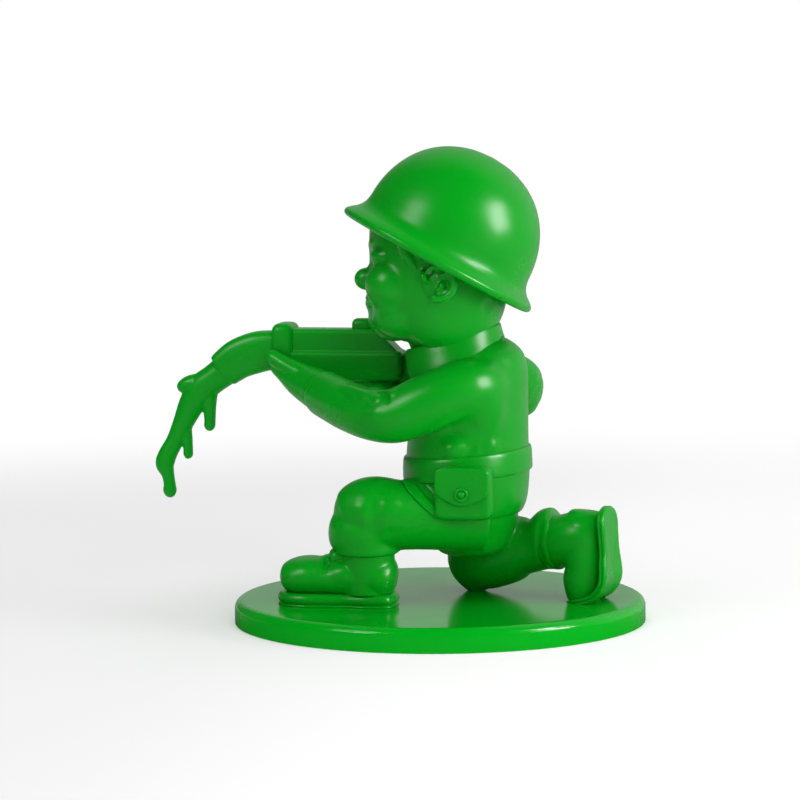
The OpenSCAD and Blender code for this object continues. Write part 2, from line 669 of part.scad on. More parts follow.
// Pouch on the left side, hung on the belt
module rounded_plate(w, h, t, r) {
    translate([-w / 2 + r, 0, 0]) cube([w - 2 * r, h, t]);
    translate([-w / 2, r, 0]) cube([w, h - 2 * r, t]);
    for (x = [-1, 1]) for (y = [r, h - r])
        translate([x * (w / 2 - r), y, 0]) cylinder(r = r, h = t, $fn = fine);
}

module pouch_frame() translate(place([pouch_share[0], -jacket_shares[2][3], pouch_share[1]]))
    rotate([90, 0, 0]) translate([0, -pouch_h / 2, 0]) children();

module pouch() {
    color(green) on_stand() difference() {
        pouch_frame() translate([0, 0, -pouch_t]) rounded_plate(pouch_w, pouch_h, 2 * pouch_t, pouch_corner);
        jacket_body();
        belt_solid();
        left_thigh_form();
    }
}

module belt_solid() intersection() {
    jacket_body(belt_t);
    belt_slab(belt_h);
}

module pouch_flap() {
    color(green) on_stand() pouch_frame() translate([0, pouch_h, pouch_t]) intersection() {
        translate([0, -pouch_h, 0]) rounded_plate(pouch_w, pouch_h, flap_t, pouch_corner);
        translate([0, pouch_w - flap_h, 0]) cylinder(r = pouch_w, h = flap_t, $fn = 2 * fine);
    }
}

module pouch_stud() {
    color(green) on_stand() pouch_frame() translate([0, pouch_h - flap_h + stud_d, pouch_t + flap_t])
        intersection() {
            translate([0, 0, -stud_d / 4]) sphere(d = stud_d, $fn = fine);
            cylinder(d = stud_d, h = stud_d, $fn = fine);
        }
}

module left_arm_form() form(left_arm_shares);
module right_arm_form() {
    form(right_upper_shares);
    form(right_lower_shares);
}

module spigot(point, way) translate(place(point)) along(-way) translate([0, 0, -over])
    cylinder(d = spigot_d, h = spigot_l + over, $fn = fine);

module left_sleeve() {
    color(green) on_stand() difference() {
        left_arm_form();
        jacket_form();
        collar_form();
        spigot(left_wrist_share, left_wrist_way);
        shoulder_pin(-1);
    }
}

// Three fingers side by side
module fingers(rows, step, side) for (k = [0 : 2])
    form([for (row = rows) row + k * concat(step, [0, 0])], side = side, sides = 12);

module left_hand() {
    color(green) on_stand() difference() {
        union() {
            difference() {
                union() {
                    form(left_palm_shares);
                    form(left_thumb_shares, sides = 12);
                    fingers(left_finger_shares, left_finger_step_share, [1, 0, 0]);
                }
                left_arm_form();
            }
            spigot(left_wrist_share, left_wrist_way);
        }
        rifle_solid();
        barrel_form();
        band_solid();
    }
}

module right_sleeve() {
    color(green) on_stand() difference() {
        right_arm_form();
        jacket_form();
        collar_form();
        spigot(right_wrist_share, right_wrist_way);
        shoulder_pin(1);
    }
}

module right_hand() {
    color(green) on_stand() difference() {
        union() {
            difference() {
                union() {
                    form(right_palm_shares);
                    fingers(right_finger_shares, right_finger_step_share, [0, 0, 1]);
                }
                right_arm_form();
            }
            spigot(right_wrist_share, right_wrist_way);
        }
        rifle_solid();
        grip_form();
        stock_form();
    }
}

module grip_form() form(grip_shares, side = [1, 0, 0], sides = 16);

// Rounded bar along X, from its low edge to its high edge
module bar(x0, x1, w, z0, z1, r) translate([x0, rifle_y_share * one_share, z0]) rotate([90, 0, 90])
    rounded_plate(w, z1 - z0, x1 - x0, r);

rifle_x = rifle_x_shares * one_share;
rifle_z = rifle_z_shares * one_share;

module rifle_solid() {
    difference() {
        union() {
            bar(rifle_x[0], rifle_x[1], rifle_w, rifle_z[0], rifle_z[1], rifle_round);
            bar(rifle_x[0], rifle_x[1], rifle_w - 2 * rifle_step, rifle_z[1] - 2 * rifle_round, rifle_z[2],
                rifle_round);
        }
        translate([rifle_x[1] - rear_round, 0, rifle_z[2] - rear_round]) rotate([-90, 0, 0]) difference() {
            translate([0, -over - rear_round, 0]) cube([rear_round + over, rear_round + over, figure_h]);
            cylinder(r = rear_round, h = figure_h, $fn = fine);
        }
    }
}

rear_round = rifle_rear_round_share * one_share;

module rifle_body() {
    color(green) on_stand() difference() {
        union() {
            rifle_solid();
            grip_form();
        }
        barrel_form();
    }
}

module stock_form() form(stock_shares);

module rifle_stock() {
    color(green) on_stand() difference() {
        stock_form();
        rifle_solid();
        jacket_form();
        collar_form();
        right_arm_form();
        grip_form();
    }
}

band_x = band_x_share * one_share;
band_z = band_z_shares * one_share;

// The band is rounded in both of its upright sections
module band_solid() intersection() {
    bar(band_x - band_l / 2, band_x + band_l / 2, rifle_w + 2 * band_t, band_z[0], band_z[1], rifle_round);
    translate([band_x, figure_h, band_z[0]]) rotate([90, 0, 0])
        rounded_plate(band_l, band_z[1] - band_z[0], 2 * figure_h, band_l / 3);
}

module barrel_band() {
    color(green) on_stand() difference() {
        band_solid();
        rifle_solid();
        barrel_form();
    }
}

module rear_sight() {
    color(green) on_stand() translate([0, rifle_y_share * one_share + sight_w / 2, 0]) difference() {
        rotate([90, 0, 0]) linear_extrude(sight_w) polygon(sight_shares * one_share);
        translate([0, -rifle_y_share * one_share - sight_w / 2, 0]) rifle_solid();
    }
}

module barrel_form() form(barrel_shares, side = [0, 1, 0], power = 0.85);

module barrel() {
    color(green) on_stand() {
        barrel_form();
        form(melt_shares, side = [0, 1, 0], sides = 16);
        form(lobe_shares, side = [0, 1, 0], sides = 12);
        for (rows = drip_shares) form(rows, side = [0, 1, 0], sides = 12);
    }
}

// Flanged plug that the head turns on
module plug_flange() translate([0, 0, -seat_drop - seat_t - plug_flange_t - turn_gap])
    cylinder(d = plug_flange_d, h = plug_flange_t, $fn = fine);

module neck_plug() {
    color(green) on_stand() neck_frame() {
        plug_flange();
        translate([0, 0, -seat_drop - seat_t - turn_gap - over])
            cylinder(d = plug_d, h = seat_t + turn_gap + over + plug_grip, $fn = fine);
    }
}

module head_form() {
    head_frame() {
        form(skull_shares, side = [1, 0, 0], sides = 28);
        for (hand = [-1, 1]) translate(place([cheek_shares[0], hand * cheek_shares[1], cheek_shares[2]]))
            sphere(r = cheek_r_share * one_share, $fn = fine);
        translate(nose_shares * one_share) sphere(r = nose_r_share * one_share, $fn = fine);
        translate(chin_shares * one_share) sphere(r = chin_r_share * one_share, $fn = fine);
        for (hand = [-1, 1]) translate(place([ear_shares[0], hand * ear_shares[1], ear_shares[2]]))
            rotate([90, 0, 0]) translate([0, 0, -ear_r_shares[1] * one_share / 2])
                cylinder(r = ear_r_shares[0] * one_share, h = ear_r_shares[1] * one_share, $fn = fine);
    }
}

module head() {
    color(green) on_stand() difference() {
        union() {
            difference() {
                head_form();
                neck_frame() slab(-2 * figure_h, turn_gap);
            }
            neck_frame() translate([0, 0, -seat_drop + turn_gap / 2])
                cylinder(d = neck_d, h = seat_drop + plug_grip, $fn = fine);
        }
        helmet_solid();
        neck_frame() translate([0, 0, -seat_drop])
            cylinder(d = plug_d, h = seat_drop + plug_grip, $fn = fine);
    }
}

// Helmet, a thin shell turned about its own leaning axis
helmet_outer = smoothed(helmet_shares, 3) * one_share;
helmet_middle = [0, helmet_middle_share * one_share];
// The inner wall starts this many points up from the rim
helmet_inner_first = 3;

module helmet_frame() head_frame()
    translate(helmet_rise_shares * one_share) rotate([0, helmet_tilt, 0]) children();
helmet_rise_shares = [-0.1, 0, 3.9];

module helmet_solid() {
    helmet_frame() rotate_extrude($fn = 2 * fine) polygon(concat(
        helmet_outer,
        [for (k = [len(helmet_outer) - 1 : -1 : helmet_inner_first])
            let (p = helmet_outer[k], q = p - unit(p - helmet_middle) * helmet_wall) [max(q[0], 0), q[1]]],
        helmet_lip_shares * one_share));
}

module helmet() {
    color(green) on_stand() helmet_solid();
}

base();
base_cover();
cover_screws();
foot_screws();
left_sole();
left_boot();
left_leg();
right_sole();
right_boot();
right_leg();
hips();
hip_pins();
jacket();
shoulder_pins();
belt();
belt_buckle();
collar();
pouch();
pouch_flap();
pouch_stud();
left_sleeve();
left_hand();
right_sleeve();
right_hand();
rifle_body();
rifle_stock();
barrel_band();
rear_sight();
barrel();
neck_plug();
head();
helmet();
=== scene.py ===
import json
import math

import bpy
import numpy as np
from mathutils import Matrix, Vector
from mathutils.bvhtree import BVHTree

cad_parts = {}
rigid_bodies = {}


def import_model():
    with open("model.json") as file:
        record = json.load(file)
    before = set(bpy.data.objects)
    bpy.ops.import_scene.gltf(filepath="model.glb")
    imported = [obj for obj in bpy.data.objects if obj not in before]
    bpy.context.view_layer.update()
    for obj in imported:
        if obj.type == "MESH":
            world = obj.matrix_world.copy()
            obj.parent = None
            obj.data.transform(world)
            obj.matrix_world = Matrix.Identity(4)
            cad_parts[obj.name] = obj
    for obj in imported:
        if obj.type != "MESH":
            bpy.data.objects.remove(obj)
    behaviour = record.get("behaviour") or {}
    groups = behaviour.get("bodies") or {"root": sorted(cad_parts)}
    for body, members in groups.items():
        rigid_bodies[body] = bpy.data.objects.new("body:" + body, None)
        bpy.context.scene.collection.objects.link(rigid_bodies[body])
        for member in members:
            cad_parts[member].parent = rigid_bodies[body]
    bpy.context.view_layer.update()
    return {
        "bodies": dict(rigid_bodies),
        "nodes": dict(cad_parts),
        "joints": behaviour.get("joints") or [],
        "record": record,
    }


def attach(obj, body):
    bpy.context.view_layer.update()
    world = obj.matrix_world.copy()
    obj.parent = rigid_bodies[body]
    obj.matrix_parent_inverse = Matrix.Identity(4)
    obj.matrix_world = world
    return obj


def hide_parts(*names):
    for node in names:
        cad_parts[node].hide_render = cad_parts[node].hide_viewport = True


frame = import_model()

# A green toy soldier that kneels on a round stand and aims a rifle with a melting barrel.
# Places and sizes are in millimetres, heights are from the ground, and the face looks towards -X.
mm = 0.001
turn = 2 * math.pi
# How near a corner lies to the plane or the rim that it is on
touch = 0.05

# Lengths in millimetres and angles in degrees; "turn" goes round from the figure's left side
camera = {"turn": 12, "down": 5.75, "distance": 1300, "across": -13.6, "height": 78.5, "roll": 0.5,
          "mmPerPixel": 0.353, "pictureSide": 800, "sensor": 36, "clip": 10}


def addCamera(c):
    a, p, q = (math.radians(c[k]) for k in ("turn", "down", "roll"))
    right = Vector((math.cos(a), math.sin(a), 0))
    ahead = Vector((-math.sin(a) * math.cos(p), math.cos(a) * math.cos(p), -math.sin(p)))
    up = right.cross(ahead)
    target = right * c["across"] + Vector((0, 0, c["height"]))
    right, up = right * math.cos(q) - up * math.sin(q), up * math.cos(q) + right * math.sin(q)
    bpy.ops.object.camera_add(location=(target - ahead * c["distance"]) * mm)
    cam = bpy.context.object
    cam.name = "camera"
    cam.rotation_euler = Matrix((right, up, -ahead)).transposed().to_euler()
    cam.data.sensor_width = c["sensor"]
    cam.data.lens = c["sensor"] * c["distance"] / (c["mmPerPixel"] * c["pictureSide"])
    cam.data.clip_start = c["clip"] * mm
    bpy.context.scene.camera = cam


addCamera(camera)
print("camera set")


def colour(text):
    parts = [int(text[k:k + 2], 16) / 255 for k in (1, 3, 5)]
    return [c / 12.92 if c <= 0.04045 else ((c + 0.055) / 1.055) ** 2.4 for c in parts] + [1]


# Adds a node with its settings, its socket values and the links that feed it
def addNode(tree, kind, settings=(), values=(), links=()):
    node = tree.nodes.new("ShaderNode" + kind)
    for key, value in dict(settings).items():
        setattr(node, key, value)
    for key, value in dict(values).items():
        node.inputs[key].default_value = value
    for key, source in dict(links).items():
        tree.links.new(source, node.inputs[key])
    return node


def startMaterial(name):
    material = bpy.data.materials.new(name)
    material.use_nodes = True
    tree = material.node_tree
    tree.nodes.clear()
    return material, tree, addNode(tree, "TexCoord").outputs["Object"]


# Soft PVC cast in one colour from a polished mould: an even green with a satin gloss.
# Its colour drifts a little where the batch mixed, and the skin keeps a faint orange peel.
pvc = {"pale": "#00a01a", "deep": "#009618", "drift": 22, "driftDetail": 2, "patch": 16, "patchDetail": 3,
       "patchSpread": (0.3, 0.7), "gloss": (0.27, 0.32), "peel": 1.1, "peelDetail": 2, "peelDepth": 0.007,
       "peelStrength": 0.5, "metal": 0, "ior": 1.45}
# The stand comes out of a flat, polished half of the mould, so it mirrors more
# Its greens are lighter than the figure's: painted light, standing for brighter light on the stand's top
standPvcPaintedLight = dict(pvc, pale="#00aa1c", deep="#00a21a", gloss=(0.13, 0.18), peel=2.4, peelDepth=0.006)
# Zinc-plated steel from cold-headed screws: grey, with turning marks that blur its shine
zinc = dict(pvc, pale="#c9cbcc", deep="#9b9fa2", drift=0.8, driftDetail=4, patch=0.8, patchDetail=4,
            patchSpread=(0, 1), gloss=(0.28, 0.45), peelStrength=0, metal=1, ior=1.5)


# Values of a Map Range node, in the order of its sockets
def span(*values):
    return dict(zip(("From Min", "From Max", "To Min", "To Max"), values))


def makeMaterial(name, p):
    material, tree, place = startMaterial(name)
    drift, patches, peel = [
        addNode(tree, "TexNoise", values={"Scale": 1 / (p[key] * mm), "Detail": p[key + "Detail"]},
                links={"Vector": place}).outputs["Fac"] for key in ("drift", "patch", "peel")]
    mixed = addNode(tree, "Mix", {"data_type": "RGBA"},
                    {"A": colour(p["deep"]), "B": colour(p["pale"])}, {"Factor": drift})
    gloss = addNode(tree, "MapRange", values=span(*p["patchSpread"], *p["gloss"]),
                    links={"Value": patches})
    bump = addNode(tree, "Bump",
                   values={"Strength": p["peelStrength"], "Distance": p["peelDepth"] * mm},
                   links={"Height": peel})
    shader = addNode(tree, "BsdfPrincipled", values={"Metallic": p["metal"], "IOR": p["ior"]},
                     links={"Base Color": mixed.outputs["Result"], "Roughness": gloss.outputs["Result"],
                            "Normal": bump.outputs["Normal"]})
    addNode(tree, "OutputMaterial", links={"Surface": shader.outputs["BSDF"]})
    return material


figurePvc = makeMaterial("castPvcGreen", pvc)
polishedPvcPaintedLight = makeMaterial("castPvcGreenPolishedPaintedLight", standPvcPaintedLight)
screwSteel = makeMaterial("zincPlatedSteel", zinc)
print("materials made")


# Everything is let go first, because the loaded nodes are still selected
def pick(pieces):
    bpy.ops.object.select_all(action="DESELECT")
    for piece in pieces:
        piece.select_set(True)
    bpy.context.view_layer.objects.active = pieces[0]


def read(items, key, width, kind=np.float32):
    values = np.empty(len(items) * width, kind)
    items.foreach_get(key, values)
    return values.reshape(-1, width)


def readPoints(piece):
    return read(piece.data.vertices, "co", 3).astype(float) / mm


def readEdges(piece):
    return read(piece.data.edges, "vertices", 2, np.int32).T


def writePoints(piece, points):
    piece.data.vertices.foreach_set("co", (points * mm).astype(np.float32).ravel())
    piece.data.update()


# Turns a mesh right side out if its volume comes out below zero
def faceOutwards(piece):
    piece.data.calc_loop_triangles()
    corners = read(piece.data.loop_triangles, "vertices", 3, np.int32)
    a, b, c = readPoints(piece)[corners].transpose(1, 0, 2)
    if np.sum(a * np.cross(b, c)) < 0:
        piece.data.flip_normals()


# Starts edit mode with the faces or edges selected that pass a test on their corners, or with the
# corners that a list of flags picks out
def choose(piece, mode, wanted):
    pick([piece])
    bpy.ops.object.mode_set(mode="EDIT")
    bpy.ops.mesh.select_mode(type=mode)
    bpy.ops.mesh.select_all(action="DESELECT")
    bpy.ops.object.mode_set(mode="OBJECT")
    items = {"FACE": piece.data.polygons, "EDGE": piece.data.edges, "VERT": piece.data.vertices}[mode]
    if callable(wanted):
        points = readPoints(piece)
        wanted = [wanted(points[list(item.vertices)]) for item in items]
    items.foreach_set("select", np.array(wanted, bool))
    bpy.ops.object.mode_set(mode="EDIT")


def leaveEdit():
    bpy.ops.object.mode_set(mode="OBJECT")


def applyModifier(piece, kind, settings):
    pick([piece])
    modifier = piece.modifiers.new(kind.lower(), kind)
    for key, value in settings.items():
        setattr(modifier, key, value)
    bpy.ops.object.modifier_apply(modifier=modifier.name)


# Smooth curve through the rows of a table, at even steps
def throughRows(rows, count, closed=False):
    rows = np.array(rows, float)
    before, after = (rows[-1:], rows[:2]) if closed else (rows[:1], rows[-1:])
    rows = np.concatenate([before, rows, after])
    last = len(rows) - 2
    spots = np.linspace(1, last, count, endpoint=not closed)
    i = np.minimum(spots.astype(int), last - 1)
    t = (spots - i)[:, None]
    a, b, c, d = rows[i - 1], rows[i], rows[i + 1], rows[i + 2]
    return (2 * b + (c - a) * t + (2 * a - 5 * b + 4 * c - d) * t ** 2 + (3 * b - a - 3 * c + d) * t ** 3) / 2


def unit(v):
    return v / np.linalg.norm(v, axis=-1, keepdims=True)


def softStep(t):
    t = np.clip(t, 0, 1)
    return t * t * (3 - 2 * t)


def circle(sides):
    angle = np.arange(sides) * turn / sides
    return np.cos(angle), np.sin(angle)


# Closed skin over a list of rings, made from a ball whose own rings are moved to them
def skin(rings):
    rings = np.array(rings, float)
    count, sides = rings.shape[:2]
    bpy.ops.mesh.primitive_uv_sphere_add(segments=sides, ring_count=count + 1, location=(0, 0, 0))
    piece = bpy.context.object
    ball = readPoints(piece) * mm
    ring = np.rint(np.arccos(np.clip(ball[:, 2], -1, 1)) / math.pi * (count + 1)).astype(int)
    around = np.rint(np.arctan2(ball[:, 1], ball[:, 0]) / turn * sides).astype(int) % sides
    points = rings[np.clip(ring - 1, 0, count - 1), around]
    points[ring == 0] = rings[0].mean(0)
    points[ring == count + 1] = rings[-1].mean(0)
    writePoints(piece, points)
    faceOutwards(piece)
    return piece


# Oval tube through the rows of a table: x, y, z, half the width across and half the height. A power
# below 1 squares its section.
def tube(rows, side=(0, 0, 1), sides=64, count=60, power=1.0, frame=None):
    fine = throughRows(rows, count)
    way = unit(np.gradient(fine[:, :3], axis=0))
    across = unit(np.cross(side, way))
    upward = np.cross(way, across)
    c, s = (np.sign(v) * np.abs(v) ** power for v in circle(sides))
    rings = (fine[:, None, :3] + across[:, None] * (fine[:, 3:4] * c)[..., None]
             + upward[:, None] * (fine[:, 4:5] * s)[..., None])
    return skin(moved(rings, frame))


def moved(points, frame):
    if frame is None:
        return points
    m = np.array(frame)
    return points @ m[:3, :3].T + m[:3, 3]


def ball(place, size, frame, segments=48):
    bpy.ops.mesh.primitive_uv_sphere_add(segments=segments, ring_count=segments // 2, location=(0, 0, 0))
    piece = bpy.context.object
    points = readPoints(piece) * mm * np.array(size) + np.array(place)
    writePoints(piece, moved(points, frame))
    return piece


# Keeps the largest group of joined points
def keepMain(piece):
    a, b = readEdges(piece)
    label = np.arange(len(piece.data.vertices))
    while True:
        new = label.copy()
        np.minimum.at(new, a, label[b])
        np.minimum.at(new, b, label[a])
        new = new[new]
        if (new == label).all():
            break
        label = new
    main = np.bincount(label).argmax()
    if (label == main).all():
        return
    choose(piece, "VERT", label != main)
    bpy.ops.mesh.delete(type="VERT")
    leaveEdit()


# Joins parts into one even skin of a fineness "voxel", as clay is worked together, and smooths it
def fuse(parts, p):
    pick(parts)
    bpy.ops.object.join()
    piece = bpy.context.object
    applyModifier(piece, "REMESH", {"mode": "VOXEL", "voxel_size": p["voxel"] * mm})
    keepMain(piece)
    applyModifier(piece, "SMOOTH", {"factor": 0.5, "iterations": p["steps"]})
    return piece


# Nearest places on a piece's surface
def ontoSurface(piece, points):
    tree = BVHTree.FromObject(piece, bpy.context.evaluated_depsgraph_get())
    return np.array([tree.find_nearest(Vector(p) * mm)[0] for p in points]) / mm


# Draws lines on a piece: each is its points, its half width and how far it rises, or sinks below zero.
# A line starts and ends with a share of its height and reaches all of it further in.
def carve(piece, lines, count=60, endShare=0.35):
    points = readPoints(piece)
    normals = read(piece.data.vertices, "normal", 3).astype(float)
    rise = np.zeros(len(points))
    for spots, width, height in lines:
        line = throughRows(spots, count) if len(spots) > 1 else np.array(spots, float)
        line = ontoSurface(piece, line)
        low, high = line.min(0) - width, line.max(0) + width
        near = np.flatnonzero(((points > low) & (points < high)).all(1))
        gap = np.linalg.norm(points[near, None] - line[None], axis=2)
        spot, gap = gap.argmin(1), gap.min(1)
        run = np.append(0, np.cumsum(np.linalg.norm(np.diff(line, axis=0), axis=1)))
        inward = np.minimum(run, run[-1] - run)[spot]
        fade = softStep(inward / (2 * width) + endShare) if len(spots) > 1 else 1
        rise[near] += height * np.clip(1 - (gap / width) ** 2, 0, None) ** 2 * fade
    writePoints(piece, points + normals * rise[:, None])


# Smooths a piece near some places: each is a place and how far its smoothing reaches
def soften(piece, places, steps):
    points = readPoints(piece)
    weight = np.zeros(len(points))
    for place, reach in places:
        gap = np.linalg.norm(points - np.array(place), axis=1)
        weight = np.maximum(weight, 1 - softStep(gap / reach))
    a, b = readEdges(piece)
    used = np.flatnonzero((weight[a] > 0) | (weight[b] > 0))
    a, b = a[used], b[used]
    count = np.maximum(np.bincount(a, minlength=len(points)) + np.bincount(b, minlength=len(points)), 1)
    for _ in range(steps):
        mean = np.stack([np.bincount(a, points[b, k], len(points)) + np.bincount(b, points[a, k], len(points))
                         for k in range(3)], 1) / count[:, None]
        points += (mean - points) * (0.5 * weight)[:, None]
    writePoints(piece, points)


# Flattens whatever reaches below a height
def restOn(piece, height):
    points = readPoints(piece)
    points[:, 2] = np.maximum(points[:, 2], height)
    writePoints(piece, points)


# Cuts a piece with a plane, keeps the side that its normal points to and closes the cut
def cutOff(piece, place, normal):
    pick([piece])
    bpy.ops.object.mode_set(mode="EDIT")
    bpy.ops.mesh.select_all(action="SELECT")
    bpy.ops.mesh.bisect(plane_co=[c * mm for c in place], plane_no=normal, use_fill=True, clear_inner=True)
    leaveEdit()


bevels = {"steps": 5, "biggerSteps": 8, "limit": 40}


# Block between two corners with all its edges rounded, and those that pass a test rounded more
def block(low, high, rounding, bigger=None, biggerRound=0):
    low, high = np.array(low, float), np.array(high, float)
    bpy.ops.mesh.primitive_cube_add(size=1, location=(0, 0, 0))
    piece = bpy.context.object
    writePoints(piece, readPoints(piece) * mm * (high - low) + (low + high) / 2)
    if bigger:
        choose(piece, "EDGE", bigger)
        bpy.ops.mesh.bevel(offset=biggerRound * mm, segments=bevels["biggerSteps"])
        leaveEdit()
    applyModifier(piece, "BEVEL", {"width": rounding * mm, "segments": bevels["steps"],
                                   "limit_method": "ANGLE", "angle_limit": math.radians(bevels["limit"])})
    return piece


# Names, smooths and colours a finished piece, puts it on the body it rides on and hides the nodes that it
# replaces
def give(piece, name, nodes, angle=None, material=figurePvc, body="figure"):
    pick([piece])
    if angle:
        bpy.ops.object.shade_smooth_by_angle(angle=math.radians(angle))
    else:
        bpy.ops.object.shade_smooth()
    piece.name = name
    piece.data.name = name
    piece.data.materials.clear()
    piece.data.materials.append(material)
    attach(piece, body)
    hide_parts(*nodes)
    print("made", name, len(piece.data.polygons), "faces")


stand = {
    "radius": 72.8, "height": 8.5, "edge": 3, "edgeSteps": 10, "topInset": 4, "wall": 3, "top": 3.2,
    "lowEdge": 0.4, "lowSteps": 3, "sides": 256}


def makeStand(s):
    bpy.ops.object.select_all(action="DESELECT")
    bpy.ops.mesh.primitive_cylinder_add(vertices=s["sides"], radius=s["radius"] * mm, depth=s["height"] * mm,
                                        location=(0, 0, s["height"] / 2 * mm))
    piece = bpy.context.object
    bpy.ops.object.transform_apply(location=True)
    high, rim = s["height"] - touch, s["radius"] - touch
    choose(piece, "FACE", lambda p: (p[:, 2] > high).all())
    bpy.ops.mesh.inset(thickness=s["topInset"] * mm)
    leaveEdit()
    choose(piece, "EDGE", lambda p: (p[:, 2] > high).all() and (np.hypot(p[:, 0], p[:, 1]) > rim).all())
    bpy.ops.mesh.bevel(offset=s["edge"] * mm, segments=s["edgeSteps"])
    leaveEdit()
    choose(piece, "EDGE", lambda p: (p[:, 2] < touch).all())
    bpy.ops.mesh.bevel(offset=s["lowEdge"] * mm, segments=s["lowSteps"])
    leaveEdit()
    choose(piece, "FACE", lambda p: (p[:, 2] < touch).all() and len(p) == s["sides"])
    bpy.ops.mesh.inset(thickness=(s["wall"] - s["lowEdge"]) * mm)
    bpy.ops.mesh.extrude_region_move(TRANSFORM_OT_translate={
        "value": (0, 0, (s["height"] - s["top"]) * mm)})
    leaveEdit()
    return piece


give(makeStand(stand), "standDisc", ["base"], angle=35, material=polishedPvcPaintedLight)


# Rings of a sole: each level is a height and how far the edge stands out from the outline there. More
# rings inside each end, from small to nearly full size, keep its flat face even, and the last end can be
# dished.
def soleRings(outline, levels, dish=0, count=180, inside=(0.07, 0.95, 12)):
    curve = throughRows(outline, count, closed=True)
    way = unit(np.roll(curve, -1, 0) - np.roll(curve, 1, 0))
    outward = np.stack([way[:, 1], -way[:, 0]], 1)
    middle = curve.mean(0)
    if np.sum(outward * (curve - middle)) < 0:
        outward = -outward
    rings = [np.concatenate([curve + outward * out, np.full((count, 1), height)], 1)
             for height, out in levels]
    ends = [[ring * (k, k, 1) + np.append(middle * (1 - k), -deep * (1 - k)) for k in np.linspace(*inside)]
            for ring, deep in ((rings[0], 0), (rings[-1], dish))]
    return np.array(ends[0] + rings + ends[1][::-1])


# The outline holds X and Y
leftSole = {
    "outline": [(-10.4, -23.6), (-12, -16.2), (-19, -14.4), (-27, -14.9), (-35, -13.6), (-43, -12.8),
        (-50, -15.4), (-53.2, -22.8), (-50, -30.4), (-43, -33.4), (-35, -33), (-27, -32.2), (-19, -32.8),
        (-12, -31)],
    "levels": [(8.45, -2), (8.45, -0.3), (8.55, -0.05), (8.8, 0), (9.05, -0.05), (9.25, -0.4), (9.4, -0.6),
        (9.6, -0.4), (10, -0.1), (10.6, 0.1), (11.2, 0.1), (11.8, -0.05), (12.4, -0.4), (12.8, -0.85),
        (13.05, -1.5), (13.1, -3)]}
give(skin(soleRings(leftSole["outline"], leftSole["levels"])), "leftSole", ["left_sole"], angle=60)

leftBoot = {
    "foot": [(-10.7, -24, 17.6, 2.6, 2.4), (-11.3, -24, 17.7, 5.6, 5), (-13.2, -24, 18, 8.4, 7.2),
        (-17, -23.8, 18.4, 9.8, 7.8), (-26, -23.4, 18.6, 9.8, 7.8), (-33, -23.2, 18.1, 10.2, 6.6),
        (-38, -23, 18.3, 10.5, 6.9), (-43, -23, 18.4, 10.5, 7), (-47.3, -23, 17.9, 9.5, 6.3),
        (-50.2, -23, 17, 7.2, 4.7), (-51.7, -23, 16.6, 3.4, 2.7)],
    "shaft": [(-20.9, -24, 12.5, 9.3, 8.6), (-20.9, -24, 19.5, 9.6, 9.3), (-20.8, -24, 28.9, 9.6, 9.5)],
    "tongue": [(-28, -24, 26.2, 5.6, 3.2), (-31, -24, 25.9, 5.4, 3), (-33.6, -24, 24.7, 4.8, 2.6),
        (-35.8, -24, 22.7, 3.4, 1.6)],
    "lines": [([(-34.4, -20, 27), (-34.4, -26, 26), (-34.2, -29, 24), (-34.6, -31.4, 21.2)], 1.5, -0.9),
        ([(-36.6, -22, 24.6), (-36.6, -28, 23.2), (-37, -31, 20.6)], 2, 0.6),
        ([(-31.6, -20, 28), (-31.4, -28.6, 26), (-31.8, -31.4, 23)], 2.4, 0.5),
        ([(-28.6, -32, 21.4)], 5, 0.8), ([(-41, -29.5, 21.8)], 6, 0.4)],
    "ground": 12.9, "voxel": 0.4, "steps": 12}


def makeLeftBoot(b):
    parts = [tube(b["foot"]), tube(b["shaft"], side=(1, 0, 0)), tube(b["tongue"])]
    piece = fuse(parts, b)
    carve(piece, b["lines"])
    restOn(piece, b["ground"])
    return piece


give(makeLeftBoot(leftBoot), "leftBoot", ["left_boot"])

# The right foot stands on its toe; its places are measured from where the heel's line meets the stand,
# with its turn and lean taken out
rearFootFrame = (Matrix.Translation((59.6, -3.4, 8.5)) @ Matrix.Rotation(math.radians(-10), 4, "Z")
                 @ Matrix.Rotation(math.radians(-4), 4, "Y"))
# What stands on the disc sinks a little into it
standTop = 8.45
# Rows of the outline are a height and half the width there; below "bend" it curls under the toe
rightSole = {
    "outline": [(-12.8, 4.6), (-10, 7.8), (-5, 9.4), (2, 10), (8, 9.9), (13, 9.2), (18, 7.9), (23, 7.9),
        (28, 8.2), (31.6, 6.4), (33.4, 2.4)],
    "levels": [(1.5, -2), (1.55, -0.8), (1.8, -0.3), (2.1, 0), (2.5, 0), (2.75, -0.3), (2.95, -0.35),
        (3.1, -0.2), (3.3, 0), (3.6, 0), (3.95, -0.2), (4.25, -0.6), (4.4, -1.2)],
    "dish": 0.7, "bend": 10.5, "middle": -6.5, "radius": 11, "most": 80}


def curled(points, s):
    x, y, z = np.moveaxis(np.array(points, float), -1, 0)
    arc = np.clip(s["bend"] - z, 0, None)
    most = math.radians(s["most"])
    angle = np.minimum(arc / s["radius"], most)
    rest = np.clip(arc - most * s["radius"], 0, None)
    out = x - s["middle"]
    return np.stack([s["middle"] + out * np.cos(angle) - rest * math.sin(most), y,
                     np.where(arc > 0, s["bend"] - out * np.sin(angle) - rest * math.cos(most), z)], -1)


def makeRightSole(s):
    outline = [(z, y) for z, y in s["outline"]] + [(z, -y) for z, y in s["outline"][::-1]]
    rings = soleRings(outline, s["levels"], s["dish"])
    piece = skin(moved(curled(rings[..., ::-1], s), rearFootFrame))
    restOn(piece, standTop)
    return piece


give(makeRightSole(rightSole), "rightSole", ["right_sole"])

